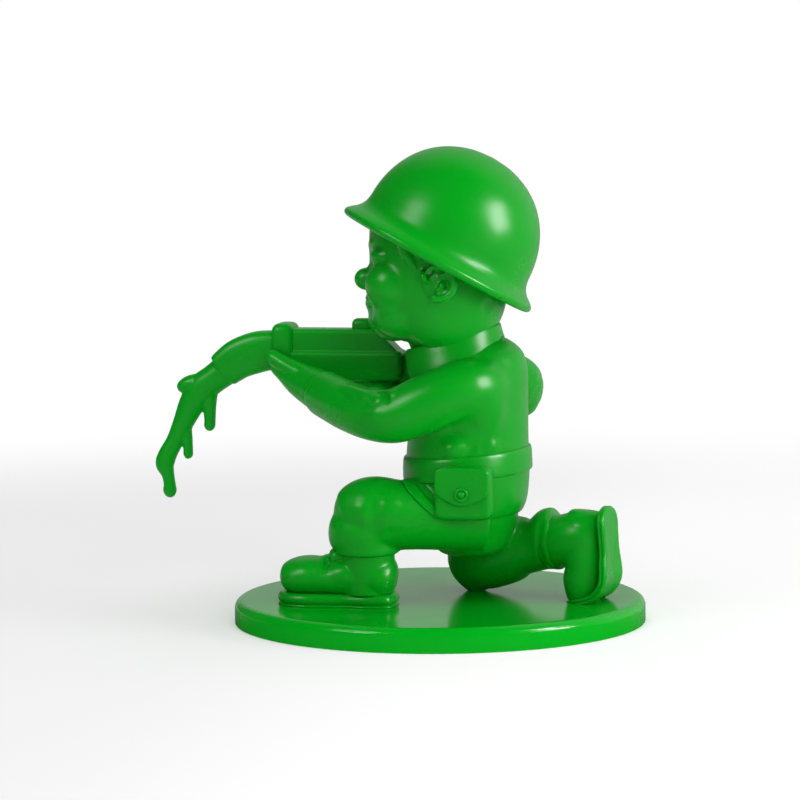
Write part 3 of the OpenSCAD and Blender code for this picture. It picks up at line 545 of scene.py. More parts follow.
rightBoot = {
    "foot": [(-4.4, 0, 32.4, 2.4, 4.6), (-4.5, 0, 31.6, 4, 6.4), (-4.6, 0, 30.2, 6, 7.2),
        (-5, 0, 27.6, 8, 7.8), (-5.8, 0, 23, 8.6, 8.2), (-6, 0, 17.5, 8.6, 8.2), (-5.4, 0, 12.6, 8.9, 7.6),
        (-6.2, 0, 8.6, 9.4, 8), (-6.8, 0, 5.2, 9.2, 7.4), (-7.4, 0, 2.2, 8.2, 6.2),
        (-7.6, 0, -0.4, 6.2, 4.4)],
    "shaft": [(-20.4, 4.4, 20.9, 9.2, 9.4), (-14, 2.2, 21.6, 9.8, 9.3), (-8, 0.6, 22.7, 9.5, 9.5),
        (-3, 0.2, 23.5, 8.8, 9), (-0.6, 0, 23.8, 7, 8)],
    "voxel": 0.4, "steps": 14}


def makeRightBoot(b):
    parts = [tube(b["foot"], side=(1, 0, 0), frame=rearFootFrame), tube(b["shaft"], frame=rearFootFrame)]
    piece = fuse(parts, b)
    restOn(piece, standTop)
    return piece


give(makeRightBoot(rightBoot), "rightBoot", ["right_boot"])

trousers = {
    "hips": [(11, 0, 23.3, 5, 5), (11, 0, 24.9, 12, 10.6), (11, 0, 29, 17.6, 14.6),
        (10.4, 0, 34.5, 21.4, 17.2), (10, 0, 40, 22.8, 18.4), (10, 0, 45, 22.8, 18.4)],
    "leftThigh": [(18, -9, 37.1, 11.5, 11), (8, -13, 38.4, 12, 11.6), (-1, -17.5, 39.3, 11.8, 11.7),
        (-10, -21.5, 40.1, 12.2, 12.3), (-17, -23.6, 40.4, 12.6, 13.4), (-21.6, -24, 39.6, 12, 13.1),
        (-25.2, -24, 37.4, 10.2, 11.1), (-28.2, -24, 35.4, 7.2, 7.8), (-30.4, -24, 33.9, 2.8, 3.2)],
    "leftShin": [(-20.2, -24, 39.6, 11.2, 11.2), (-21.8, -24, 34.5, 12.2, 12.7),
        (-21.4, -24, 31.3, 11.7, 12.1), (-21, -24, 29.2, 11.3, 11), (-20.9, -24, 27.9, 11.4, 11),
        (-20.9, -24, 26.9, 11, 10.6), (-20.9, -24, 26.5, 9.6, 9.4)],
    "rightThigh": [(12, 11, 37.5, 12, 12), (12.2, 12.6, 30.5, 12.1, 12.2), (12, 14.2, 23.5, 11.8, 12),
        (11, 15, 18.1, 10.6, 11), (10.6, 15, 13.1, 8, 8.6), (10.4, 15, 9.7, 4.6, 5), (10.4, 15, 7.9, 2, 2)],
    "rightShin": [(6, 16.6, 19.5, 7, 7), (11.5, 15, 20.1, 11, 11.2), (20, 12, 23.2, 11.2, 12.2),
        (27, 9, 25.4, 10.4, 11.2), (32.2, 7.2, 25.9, 9.5, 9.2), (35.4, 6.2, 27.1, 9.7, 9.6),
        (38, 5.5, 28.2, 10.7, 10.7), (40, 5, 29, 11.4, 11.3), (41.8, 4.6, 29.4, 10.8, 10.8),
        (42.6, 4.5, 29.6, 9.2, 9.2)],
    "lines": [([(-14.5, -34, 50), (-15.4, -35.4, 45), (-15.6, -35.6, 39), (-16, -35.6, 33)], 4, -0.7),
        ([(-10.4, -33.4, 48.4), (-10, -34.4, 44)], 4.6, 0.7),
        ([(-20.6, -35.4, 47.4), (-21.2, -35.6, 42)], 5, 0.7), ([(-13, -35, 34), (-9, -33, 36.4)], 3, -0.6),
        ([(36.8, -4, 36), (36.5, -5, 30), (37, -3, 22), (38, 1, 18.5)], 1.8, -0.7),
        ([(39.6, -3, 38.8), (39.4, -6.2, 31), (39.8, -5, 23), (40.6, -1, 19)], 1.6, 0.7)],
    "voxel": 0.55, "steps": 12}


def makeTrousers(t):
    upright = (1, 0, 0)
    parts = [tube(t["hips"], side=upright, sides=96), tube(t["leftThigh"]), tube(t["leftShin"], side=upright),
             tube(t["rightThigh"], side=upright), tube(t["rightShin"])]
    piece = fuse(parts, t)
    carve(piece, t["lines"])
    restOn(piece, standTop)
    return piece


give(makeTrousers(trousers), "trousers", ["left_leg", "right_leg", "hips", "hip_pins"])

# Level ovals of the jacket: x, y, height, half the width and half the depth
jacketRows = [
    (9.6, 0, 39, 26.4, 19.6), (10.2, 0, 43.5, 27.2, 20.8), (10.4, 0, 52.5, 26.8, 21.6),
    (10.4, 0, 60.5, 25.8, 21.4), (10.8, 0, 70.5, 25.2, 20.9), (11, 0, 80.5, 25.6, 20.7),
    (11.1, 0, 87.5, 23.6, 20.6), (11, 0, 92.4, 20.6, 20.2), (10.6, 0, 95.6, 18, 19.4),
    (9.6, 0, 98.4, 15.4, 17.8), (8.4, 0, 100.6, 13, 15.2), (7.4, 0, 101.8, 10.6, 12)]
jacket = {
    "leftArm": [(21, -8, 84, 6, 6), (19.6, -12, 84.4, 9.4, 9.4), (15.6, -18.4, 84.4, 10.6, 10.6),
        (8.4, -23.4, 82.8, 10.2, 10.2), (-1, -25.8, 79, 9.7, 10), (-10, -25.7, 75.4, 9.4, 9.6),
        (-19, -22.4, 75.3, 8.9, 9.1), (-28, -15.6, 76.9, 8.6, 8.7), (-34, -10.2, 78.6, 8.4, 8.5),
        (-38.5, -5.8, 79.9, 8, 8.3), (-41.2, -3.2, 80.8, 7.7, 8.1), (-42.4, -2, 81.1, 6.6, 7)],
    "side": [(17.6, -16.2, 88.6, 5.4, 5.4), (18.2, -17, 85, 8.2, 8.2), (18.9, -17, 78, 8.6, 8.8),
        (18.9, -15.4, 70, 7.2, 7.8), (18.8, -14.2, 63, 5.2, 6.2)],
    "lines": [([(-16, -27.5, 86), (-13.3, -29.3, 83.8), (-12.1, -31.7, 82.6), (-11.1, -33.6, 81)], 1.3, -0.9),
        ([(-15.6, -31.4, 82.4)], 2.2, 0.5), ([(-10, -31.5, 84)], 2.4, 0.5),
        ([(-30, -18.5, 85), (-24, -24, 84), (-18, -29.5, 82.6)], 3, 0.8),
        ([(-31, -21.8, 82), (-25, -27.6, 80.2), (-18.6, -32, 79.4)], 2.6, -0.5),
        ([(-17.6, -32.6, 77.4), (-13.4, -33.6, 75.8)], 4.5, 0.7), ([(9.8, -26, 64.2)], 5.6, 1.9),
        ([(23, -20.6, 64.4)], 4.8, 1), ([(5, -25, 69.6), (10, -26, 69.6), (15, -25, 71)], 5.5, -1.3),
        ([(0, -26, 74), (8, -29, 73.8), (15, -28, 76.6)], 2.4, 0.5),
        ([(15.6, -25, 62.4), (17, -24, 66)], 2.4, -0.5),
        ([(-4.4, -25, 52.4), (0.6, -28.6, 47.4), (4.6, -29.4, 43.6)], 1.2, 0.5),
        ([(-2.4, -25, 53.4), (1.6, -28, 49.6), (4.6, -29, 46.6)], 1.1, -0.6),
        ([(-0.4, -25, 54.4), (2.6, -28, 51.6), (4.6, -28.6, 49.8)], 1.1, 0.5),
        ([(32, 9, 90), (33, 8, 84), (33, 7, 76)], 2.4, -0.8)],
    "overThigh": 0.9,
    "rightUpper": [(6, 12, 85, 11.4, 11.6), (13, 21, 85.3, 11.2, 11.2), (19, 28, 83.5, 10.4, 10.4),
        (23.4, 33, 80.5, 9.8, 9.8), (26.6, 35.4, 78.7, 7.7, 8), (28.6, 36.8, 77.7, 3.4, 3.4)],
    "rightLower": [(30.6, 37.4, 77.7, 3, 3), (28.5, 36.8, 78.1, 7.3, 7.5), (24.2, 35.6, 78.5, 9.4, 9.6),
        (15, 33, 78.3, 9.3, 9.5), (4, 29.6, 77.5, 8.8, 9), (-5, 26, 76.9, 8.1, 8.3),
        (-10.6, 23.4, 76.7, 7.3, 7.6), (-12.4, 22.6, 76.7, 6.6, 6.9)],
    "hemFront": ((-8.6, 0, 52.6), (5.4, 0, 39.4)),
    "sides": 96, "count": 80,
    "soft": [((26, -22, 84), 18), ((22, -26, 74), 14), ((28, -14, 76), 13), ((28, -13, 84), 12),
        ((28, -14, 68), 11), ((24, -17, 92), 11), ((4, 22, 92), 10), ((22, 24, 92), 12), ((14, -29, 86), 10)],
    "softSteps": 90, "voxel": 0.6, "steps": 14}


def makeJacket(j):
    c, s = circle(j["sides"])
    fine = throughRows(jacketRows, j["count"])[:, None]
    torso = skin(np.stack([fine[..., 0] + fine[..., 4] * c, fine[..., 3] * s, fine[..., 2] + 0 * c], -1))
    # The skirt lies over the thigh and ends along a slant
    drape = tube(np.array(trousers["leftThigh"]) + np.array((0, 0, 0, 1, 1)) * j["overThigh"])
    a, b = (np.array(p) for p in j["hemFront"])
    for part in (torso, drape):
        cutOff(part, a, (a[2] - b[2], 0, b[0] - a[0]))
    cutOff(drape, (0, 0, b[2]), (0, 0, 1))
    parts = [torso, drape] + [tube(j[k]) for k in ("leftArm", "side", "rightUpper", "rightLower")]
    piece = fuse(parts, j)
    soften(piece, j["soft"], j["softSteps"])
    carve(piece, j["lines"])
    return piece


give(makeJacket(jacket), "jacketAndSleeves", ["jacket", "left_sleeve", "right_sleeve", "shoulder_pins"])

belt = {"low": 52.5, "lean": 4.6, "middle": 10.7, "sides": 240, "count": 400, "rounds": 8,
        "edge": [(0, -1.5), (0, 0.45), (0.14, 0.8), (0.5, 1), (1.3, 1.06), (4.2, 1.1), (7, 1.05),
                 (7.9, 0.9), (8.35, 0.6), (8.5, 0.2), (8.5, -1.5)]}


# Points round the jacket at a height on the leaning belt, stood out by a distance. The height follows
# the lean, so the place is found in a few rounds.
def roundJacket(height, out, b):
    c, s = circle(b["sides"])
    fine = throughRows(jacketRows, b["count"])
    z = np.full(len(c), height, float)
    for _ in range(b["rounds"]):
        middle, wide, deep = [np.interp(z, fine[:, 2], fine[:, k]) for k in (0, 3, 4)]
        x, y = middle + (deep + out) * s, (wide + out) * c
        z = height + (x - b["middle"]) * math.tan(math.radians(b["lean"]))
    return np.stack([x, y, z], 1)


def makeBelt(b):
    rings = [roundJacket(b["low"] + h, out, b) for h, out in b["edge"]]
    return hoop(np.array(rings).transpose(1, 0, 2))


# A closed hoop from its sections, given in order round the hoop
def hoop(sections):
    count, sides = sections.shape[:2]
    bpy.ops.mesh.primitive_torus_add(major_segments=count, minor_segments=sides, major_radius=1,
                                     minor_radius=0.25)
    piece = bpy.context.object
    ring = readPoints(piece) * mm
    major = np.rint(np.arctan2(ring[:, 1], ring[:, 0]) / turn * count).astype(int) % count
    flat = np.hypot(ring[:, 0], ring[:, 1]) - 1
    minor = np.rint(np.arctan2(ring[:, 2], flat) / turn * sides).astype(int) % sides
    writePoints(piece, sections[major, minor])
    faceOutwards(piece)
    return piece


give(makeBelt(belt), "waistBelt", ["belt"], angle=50)

buckle = {"low": (-11.5, -4.5, 52.1), "high": (-9.5, 4.5, 59), "rim": 1.5, "sink": 0.35, "rounding": 0.3}


def makeBuckle(b):
    piece = block(b["low"], b["high"], b["rounding"])
    face = b["low"][0] + touch
    choose(piece, "FACE", lambda p: (p[:, 0] < face).all())
    bpy.ops.mesh.inset(thickness=b["rim"] * mm)
    bpy.ops.mesh.extrude_region_move(TRANSFORM_OT_translate={"value": (b["sink"] * mm, 0, 0)})
    leaveEdit()
    return piece


give(makeBuckle(buckle), "beltBuckle", ["belt_buckle"], angle=40)

# Both outlines hold X and height, and are grown about the middle; the stud's rows are a place across
# and a radius
pouch = {
    "middle": (14, 48.9), "grown": (1.07, 1.04),
    "outline": [(7.2, 40.2), (14, 40.1), (20.8, 40.2), (23, 41.4), (23.3, 44), (23.3, 49), (23.3, 54),
        (22.9, 56.6), (20.6, 57.6), (14, 57.7), (7.4, 57.6), (5.1, 56.6), (4.7, 54), (4.7, 49), (4.7, 44),
        (5, 41.4)],
    "levels": [(23.6, 0), (27, 0), (28.4, 0), (29, -0.12), (29.5, -0.4), (29.85, -0.85), (30.05, -1.4)],
    "flap": [(6, 48.4), (8.4, 46.6), (11, 45.4), (14, 44.9), (17, 45.4), (19.6, 46.6), (22, 48.4),
        (22.9, 50.4), (23, 53.6), (22.7, 56.4), (20.6, 57.5), (14, 57.6), (7.4, 57.5), (5.3, 56.4), (5, 53.6),
        (5.1, 50.4)],
    "flapLevels": [(29.5, 0), (30.6, 0), (30.9, -0.1), (31.15, -0.4), (31.22, -0.9)],
    "studPlace": (14, 48.7),
    "stud": [(31, 2.5), (31.6, 2.5), (31.95, 2.4), (32.15, 2.15), (32.15, 1.85), (31.8, 1.6), (31.7, 1.4),
        (31.95, 1.2), (32.3, 0.85), (32.5, 0.45), (32.55, 0.1)]}


def facingLeft(rings):
    return np.stack([rings[..., 0], -rings[..., 2], rings[..., 1]], -1)


def makeStud(p, sides=48):
    c, s = circle(sides)
    x, z = p["studPlace"]
    return skin(facingLeft(np.array([np.stack([x + r * c, z + r * s, np.full(sides, y)], 1)
                                     for y, r in p["stud"]])))


for name, outline, levels, node in (("pouchBag", "outline", "levels", "pouch"),
                                    ("pouchFlap", "flap", "flapLevels", "pouch_flap")):
    rows = (np.array(pouch[outline]) - pouch["middle"]) * pouch["grown"] + pouch["middle"]
    give(skin(facingLeft(soleRings(rows, pouch[levels]))), name, [node], angle=60)
give(makeStud(pouch), "pouchStud", ["pouch_stud"], angle=60)

# "step" leads from one finger to the next
leftHand = {
    "palm": [(-38.5, -5.8, 80.1, 6, 6.4), (-42.6, -1.6, 81.2, 6.9, 7.2), (-46, 1.8, 82.4, 7, 7),
        (-50, 5, 84, 6.9, 6.2), (-54, 9, 86.1, 7, 4.9), (-58, 12, 88.3, 7, 3.6), (-61, 14, 90, 5.6, 2.7),
        (-63.6, 15.2, 90.5, 3, 1.5)],
    "thumb": [(-46, 1.6, 84.8, 4.4, 4), (-51.4, 3.4, 87.4, 3.7, 3.4), (-56.4, 5.2, 89.6, 3.2, 3),
        (-60.4, 6.6, 91.6, 2.9, 2.9), (-62.4, 7.4, 92.6, 2.6, 2.6), (-64, 8, 93.1, 1.3, 1.3)],
    "finger": [(-49, 13, 83.5, 2.6, 2.6), (-49.4, 19, 82.3, 2.6, 2.6), (-50, 23.4, 84.3, 2.6, 2.6),
        (-50.6, 25, 87.9, 2.5, 2.5), (-51, 24.8, 92.1, 2.4, 2.4), (-51.2, 24, 94.7, 1.8, 1.8),
        (-51.2, 23.6, 95.5, 0.8, 0.8)],
    "step": (-4.7, 0, 0.9), "side": (1, 0, 0), "voxel": 0.35, "steps": 8}
rightHand = {
    "palm": [(-9.4, 23.8, 76.7, 5.2, 5.6), (-11.8, 22.8, 76.7, 5.4, 5.8), (-16, 20.8, 77.1, 5.8, 6.8),
        (-20.4, 18.6, 77.3, 6.2, 7.2), (-24.4, 17, 77.3, 5.4, 6.6), (-27, 16, 77.3, 3, 4)],
    "finger": [(-19, 21, 80.1, 2.5, 2.3), (-25.6, 19.4, 80.3, 2.5, 2.3), (-28.4, 15.6, 80.3, 2.4, 2.2),
        (-26.4, 11.8, 80.3, 2.3, 2.2), (-22.6, 11, 80.3, 2.2, 2.1), (-20.6, 11.2, 80.3, 1, 0.9)],
    "step": (0.5, 0, -3.9), "side": (0, 0, 1), "voxel": 0.35, "steps": 8}


def makeHand(h):
    parts = [tube(h["palm"])]
    if "thumb" in h:
        parts.append(tube(h["thumb"], sides=32))
    for k in range(3):
        rows = np.array(h["finger"]) + k * np.array(h["step"] + (0, 0))
        parts.append(tube(rows, side=h["side"], sides=32))
    return fuse(parts, h)


give(makeHand(leftHand), "leftHand", ["left_hand"])
give(makeHand(rightHand), "rightHand", ["right_hand"])

# The body's rear end is rounded more and cut at a slant. The melted front hangs down from "barrel" in
# "melt", with a "lobe" above and "drips" below.
rifle = {
    "lower": ((-62, 10, 83.6), (-15.2, 22, 94.6)),
    "upper": ((-62, 11, 90), (-15.2, 21, 102.2)),
    "lowerRound": 2, "upperRound": 1.6, "rearTop": 8,
    "rearSlope": ((-24.9, 0, 102.2), (-14.5, 0, 91.2)),
    "rearLow": 3.6,
    "guard": [(-36.4, 16, 84.2, 2.2, 1), (-33.4, 16, 83, 3.4, 1.8), (-28, 16, 82.4, 3.8, 2.2),
        (-22, 16, 82.2, 3.8, 2.4)],
    "grip": [(-23.4, 15.6, 86.9, 3.6, 4.4), (-22.6, 15.6, 80.5, 3.2, 4), (-21.6, 15.6, 74.5, 3.1, 3.9),
        (-20.8, 15.6, 69.9, 3, 3.8), (-20.6, 15.6, 68.1, 1.8, 2.6)],
    "voxel": 0.35, "steps": 5,
    "stock": [(-24, 16, 89.1, 4.6, 5), (-19, 16.2, 88.7, 4.4, 5.2), (-13, 16.6, 87.9, 4.4, 6),
        (-6, 17, 87.1, 4.4, 6.8), (0, 17.2, 86.5, 4.4, 7)],
    "band": ((-63.2, 9, 89.4), (-55.2, 23, 104.1)),
    "bandRound": 2.8,
    "sight": ((-34.5, 13.4, 100), (-26.7, 18.6, 105.9)),
    "sightRound": 2.1,
    "barrel": [(-55, 16, 94.3, 6.6, 5), (-60, 16, 94.2, 6.9, 5.2), (-65, 16, 94, 7.2, 5.3),
        (-70, 16, 93.2, 7.5, 5.3), (-76, 16, 91.1, 7.3, 5.1), (-80, 16, 88.5, 6.9, 5),
        (-82.4, 16, 86.5, 6.5, 4.9)],
    "barrelPower": 0.62,
    "melt": [(-81.6, 16, 86.7, 5.6, 4.6), (-86, 16, 83.5, 5.3, 4.5), (-90.4, 16, 80.1, 5.4, 4.3),
        (-94.4, 16, 74.3, 4.8, 3.9), (-97.8, 16, 67.3, 3.8, 3.4), (-101, 16, 60.7, 3.2, 3),
        (-103.8, 16, 55.7, 3.4, 3), (-104.9, 16, 52.1, 3.5, 2.9), (-103.9, 16, 48.5, 2.4, 2.2),
        (-103.3, 16, 45.1, 2.2, 2), (-103.2, 16, 42.5, 2.5, 2.3), (-103.3, 16, 40.7, 1.8, 1.7),
        (-103.4, 16, 39.9, 0.7, 0.7)],
    "lobe": [(-90, 16, 81.3, 4.4, 3.8), (-94.4, 16, 81.5, 3.4, 3.2), (-97.6, 16, 80.5, 2.6, 2.6),
        (-99.2, 16, 79.9, 1.6, 1.5), (-99.7, 16, 79.7, 0.6, 0.6)],
    "drips": [[(-88.4, 16, 79.5, 4, 3.2), (-87.9, 16, 73.9, 2.6, 2.3), (-87.8, 16, 68.5, 2.1, 2),
        (-87.9, 16, 66.3, 2.1, 2), (-87.9, 16, 64.9, 1.3, 1.3), (-87.9, 16, 64.4, 0.5, 0.5)],
        [(-97.6, 16, 66.5, 3, 2.6), (-96.4, 16, 61.5, 2, 1.9), (-96.1, 16, 57.5, 1.8, 1.7),
        (-96.1, 16, 55.7, 1.8, 1.7), (-96.2, 16, 54.5, 1.1, 1.1), (-96.2, 16, 54.1, 0.4, 0.4)]]}


def makeRifle(r):
    rear, low, top = r["lower"][1][0] - touch, r["lower"][0][2] + touch, r["upper"][1][2] - touch
    lower = block(*r["lower"], r["lowerRound"],
                  lambda p: (p[:, 0] > rear).all() and (p[:, 2] < low).all(), r["rearLow"])
    upper = block(*r["upper"], r["upperRound"],
                  lambda p: (p[:, 0] > rear).all() and (p[:, 2] > top).all(), r["rearTop"])
    a, b = r["rearSlope"]
    cutOff(upper, a, (b[2] - a[2], 0, a[0] - b[0]))
    parts = [lower, upper, tube(r["grip"], side=(1, 0, 0)), tube(r["guard"])]
    return fuse(parts, r)


give(makeRifle(rifle), "rifleBody", ["rifle_body"])
give(tube(rifle["stock"]), "rifleStock", ["rifle_stock"])
for name, key, node in (("barrelBand", "band", "barrel_band"), ("rearSight", "sight", "rear_sight")):
    give(block(*rifle[key], rifle[key + "Round"]), name, [node])


def makeBarrel(r):
    flat = (0, 1, 0)
    parts = [tube(r["barrel"], side=flat, power=r["barrelPower"])]
    parts += [tube(r[key], side=flat) for key in ("melt", "lobe")]
    parts += [tube(rows, side=flat, sides=32) for rows in r["drips"]]
    return fuse(parts, r)


give(makeBarrel(rifle), "meltingBarrel", ["barrel"])

# It stands round the neck; each row is an angle from the back and the height of its lower edge
neckFrame = Matrix.Translation((4.4, 0, 100.9)) @ Matrix.Rotation(math.radians(-16.3), 4, "Y")
collar = {
    "low": [(0, -4.7), (25, -6.6), (45, -8.4), (64, -8.7), (85, -8.7), (102, -9), (122, -9.8), (134, -10),
        (142, -7.6), (148, -4), (152, -2)],
    "lowCount": 600, "spread": 0.36, "behind": 1.3, "count": 160,
    "profile": [(15, -1, 1), (15, -0.9, 0), (15.3, -0.25, 0), (15.8, 0.05, 0), (16.4, 0.1, 0),
        (16.9, -0.2, 0), (17.15, -0.7, 0), (17.1, 0, 0.2), (17, 0, 0.4), (17, 0, 0.6), (17, 0, 0.8),
        (17.05, 0, 0.93), (16.95, 0, 1), (16.4, -0.3, 1), (15.4, -0.3, 1)]}


# A profile row is a radius, a height and the share of the lower edge's height that is added. Past the
# inner radius the collar spreads downwards, and it stands out a little behind.
def makeCollar(c):
    low = np.array(c["low"], float)
    low = throughRows(np.concatenate([low[:0:-1] * (-1, 1), low]), c["lowCount"])
    inner = c["profile"][0][0]
    rings = []
    for angle in np.linspace(low[0, 0], low[-1, 0], c["count"]):
        end = np.interp(angle, low[:, 0], low[:, 1])
        a = math.radians(angle)
        behind = max(math.cos(a), 0) ** 2
        spread = c["spread"] * (1 - behind)
        rows = [(r + (behind * c["behind"] - spread * end * share if r > inner else 0), z + end * share)
                for r, z, share in c["profile"]]
        rings.append([(r * math.cos(a), r * math.sin(a), z) for r, z in rows])
    return skin(moved(np.array(rings), neckFrame))


give(makeCollar(collar), "standingCollar", ["collar"], angle=50)

headFrame = Matrix.Translation((0, 0, 124)) @ Matrix.Rotation(math.radians(-8), 4, "X")
helmetFrame = headFrame @ Matrix.Translation((-0.1, 0, 3.9)) @ Matrix.Rotation(math.radians(28), 4, "Y")

# The profile runs from the crown outside to the crown inside, as radius and height
helmet = {
    "profile": [(0.3, 40.8), (7.5, 40), (14.4, 37.6), (20, 34.1), (24.3, 29.8), (27.4, 25.1), (29.5, 20.4),
        (30.7, 16), (31.3, 12), (31.5, 9), (32.1, 6.3), (33.6, 4), (35.8, 2.2), (37.1, 0.7), (36.8, -0.8),
        (35.1, -1.4), (33.5, -0.5), (32.2, 1.4), (30.8, 4), (29.8, 7), (29.2, 10), (28.6, 13.4), (27.7, 17),
        (26.2, 21), (23.9, 25.2), (20.8, 29.4), (16.8, 33), (11.4, 36), (5.6, 37.5), (0.3, 37.8)],
    "sides": 200, "count": 220}


def makeHelmet(h):
    c, s = circle(h["sides"])
    radius, height = throughRows(h["profile"], h["count"]).T[..., None]
    return skin(moved(np.stack([radius * c, radius * s, height + 0 * c], -1), helmetFrame))


give(makeHelmet(helmet), "helmetShell", ["helmet"], body="head")

# Places in the head are measured from its middle, with its tilt taken out, and its far side mirrors the
# near one; the nape's is a place on the figure
head = {
    "skull": [(-8.8, 0, -25.7, 3, 2.6), (-8.4, 0, -25.1, 8.6, 7.4), (-7.3, 0, -23.2, 14.4, 12.8),
        (-5.2, 0, -20.6, 18.6, 17.8), (-2.2, 0, -16, 22, 22), (-0.3, 0, -9.6, 24.2, 24.3),
        (0.3, 0, -4, 24.8, 24.7), (0.6, 0, 2, 25.4, 24.7), (1.2, 0, 10, 25.8, 25.6), (2.6, 0, 18, 25.6, 26.2),
        (6, 0, 25, 22.8, 23), (8.4, 0, 32, 17.6, 18), (10.2, 0, 37.4, 10.6, 11), (10.8, 0, 40, 4, 4)],
    "neck": [(0, 0, -3.8, 14.6, 14.6), (0, 0, 16, 14.6, 14.6)],
    "middle": [((-15.2, 0, -10.8), (10.6, 12.5, 7)), ((-15.4, 0, -17.2), (9, 11.5, 7.8))],
    "sides": [((-13, 14.2, -6), (9.8, 10, 9.4)), ((-10, 9, -16), (11, 11, 9))],
    "first": {"voxel": 0.7, "steps": 26}, "hollows": [((-22.6, 9.6, 2.2), 6, -1.5)],
    "nose": [((-25.5, 0, -2.9), (4.4, 3.6, 4)), ((-22.5, 0, 0.2), (2.7, 2.6, 4))],
    "brow": [(-22.9, 3, 7.6, 1.3, 1.5), (-21.4, 9.4, 9, 1.5, 2), (-18.4, 14.4, 8.6, 1.2, 1.7),
        (-15.6, 17.6, 7, 0.7, 0.8)],
    "lid": ((-14.6, 13.6, 3.8), (6.6, 6.6, 4.2)),
    "earBase": ((6, 24.4, -6.1), (6.2, 1.8, 6.5)),
    "rim": {"middle": (6, 27.3, -6.1), "radius": 5.6, "from": 147, "to": -114, "size": 1.25},
    "fold": {"middle": (7.4, 27, -6.3), "radius": 2.9, "from": 125, "to": -140, "size": 0.75},
    "knob": ((7, 27.1, -6.7), (1, 1.3, 1)),
    "tragus": [(0, 25.4, -2.2, 0.9, 0.8), (0.3, 27.2, -3.4, 1.1, 1), (1, 27.4, -4.6, 1.1, 1),
        (1.3, 25.6, -6.2, 0.8, 0.8)],
    "hair": [[(-7.4, 24, 10, 2, 2.8), (-6.6, 24.3, 6, 2.1, 2.5), (-5, 24.5, 2.6, 1.9, 1.9),
        (-3.4, 24.6, -0.2, 1.3, 1.1), (-2.4, 24.7, -1.6, 0.5, 0.5)], [(-2.8, 24.4, 10, 2, 2.6),
        (-2.4, 24.6, 6.6, 2, 2.2), (-1.6, 24.7, 4, 1.6, 1.5), (-1, 24.7, 2, 0.6, 0.6)],
        [(3.4, 24.4, 10, 1.8, 5.4), (3.6, 24.6, 5, 1.7, 4.6), (3, 24.6, 2, 1.5, 2.6),
        (2.2, 24.6, 0.4, 0.7, 0.8)]],
    "mouth": [(-23.4, 6.4, -9.4), (-25.4, 3.4, -10.8), (-26, 0, -11.2), (-25.4, -3.4, -10.8),
        (-23.4, -6.4, -9.4)],
    "mouthStroke": (1.1, -0.5),
    "lidLine": [(-22, 8.6, 1), (-20, 13, -0.4), (-16, 18, 0.4)],
    "lidStroke": (0.8, -0.35), "nape": ((22, -15, 112), 4, -0.5), "voxel": 0.45, "steps": 7}


# An arc of a tube in a plane that faces sideways, thin where it starts and thicker where it ends
def arc(a, hand, count=12):
    angles = np.radians(np.linspace(a["from"], a["to"], count))
    size = a["size"] * np.interp(np.arange(count), (0, 2, count - 3, count - 1), (0.5, 1, 1, 1.2))
    x, y, z = a["middle"]
    rows = np.stack([x + a["radius"] * np.cos(angles), np.full(count, y * hand),
                     z + a["radius"] * np.sin(angles), size, size], 1)
    return tube(rows, side=(0, 1, 0), sides=24, frame=headFrame)


def makeHead(h):
    parts = [tube(h["skull"], side=(1, 0, 0), sides=96, frame=headFrame),
             tube(h["neck"], side=(1, 0, 0), sides=96, frame=neckFrame)]
    parts += [ball(place, size, headFrame) for place, size in h["middle"]]
    both = [np.array((1, hand, 1)) for hand in (-1, 1)]
    parts += [ball(place * side, size, headFrame) for side in both for place, size in h["sides"]]
    piece = fuse(parts, h["first"])
    carve(piece, [(moved(np.array([place]) * side, headFrame), width, rise)
                  for place, width, rise in h["hollows"] for side in both])
    parts = [piece] + [ball(place, size, headFrame) for place, size in h["nose"]]
    for side in both:
        wide = np.append(side, (1, 1))
        parts.append(ball(h["lid"][0] * side, h["lid"][1], headFrame))
        parts.append(tube(h["brow"] * wide, frame=headFrame, sides=24))
        parts.append(ball(h["earBase"][0] * side, h["earBase"][1], headFrame))
        parts += [arc(h["rim"], side[1]), arc(h["fold"], side[1])]
        parts.append(ball(h["knob"][0] * side, h["knob"][1], headFrame))
        parts.append(tube(h["tragus"] * wide, side=(1, 0, 0), sides=24, frame=headFrame))
        parts += [tube(rows * wide, side=(1, 0, 0), sides=32, frame=headFrame) for rows in h["hair"]]
    piece = fuse(parts, h)
    lines = [(moved(np.array(h["mouth"]), headFrame), *h["mouthStroke"])]
    lines += [(moved(h["lidLine"] * side, headFrame), *h["lidStroke"]) for side in both]
    place, width, rise = h["nape"]
    lines += [([np.array(place) * side], width, rise) for side in both]
    carve(piece, lines)
    return piece


give(makeHead(head), "headWithFace", ["head"], body="head")

for name, material in (("base_cover", figurePvc), ("neck_plug", figurePvc), ("cover_screws", screwSteel),
                       ("foot_screws", screwSteel)):
    kept = frame["nodes"][name].data.materials
    kept.clear()
    kept.append(material)
print("kept solids coloured")

# The gloss mirrors a room that is dark in front, where the camera stands, and pale behind and at the
# right. The floor glows a little behind the stand and at its right, and turns to plain white far out.
studio = {
    "floor": 8000, "paper": "#e0e0e0", "bounce": "#f0f0f0", "below": 0.3, "glow": (0.23, 0.27),
    "glowEdges": (-100, 350), "rightGlow": 0.1, "rightGlowEdges": (-80, 60), "fadeEdges": (330, 650),
    "mirrorFront": 0.005, "mirrorBack": 0.42, "mirrorEdges": (0, 0.6), "floorEdges": (-60, 110),
    "leftEdges": (-0.62, -0.3), "leftDim": 0.15, "rightEdges": (0, 0.6), "rightBright": 1.5, "all": 0.1}
white = (1, 1, 1, 1)


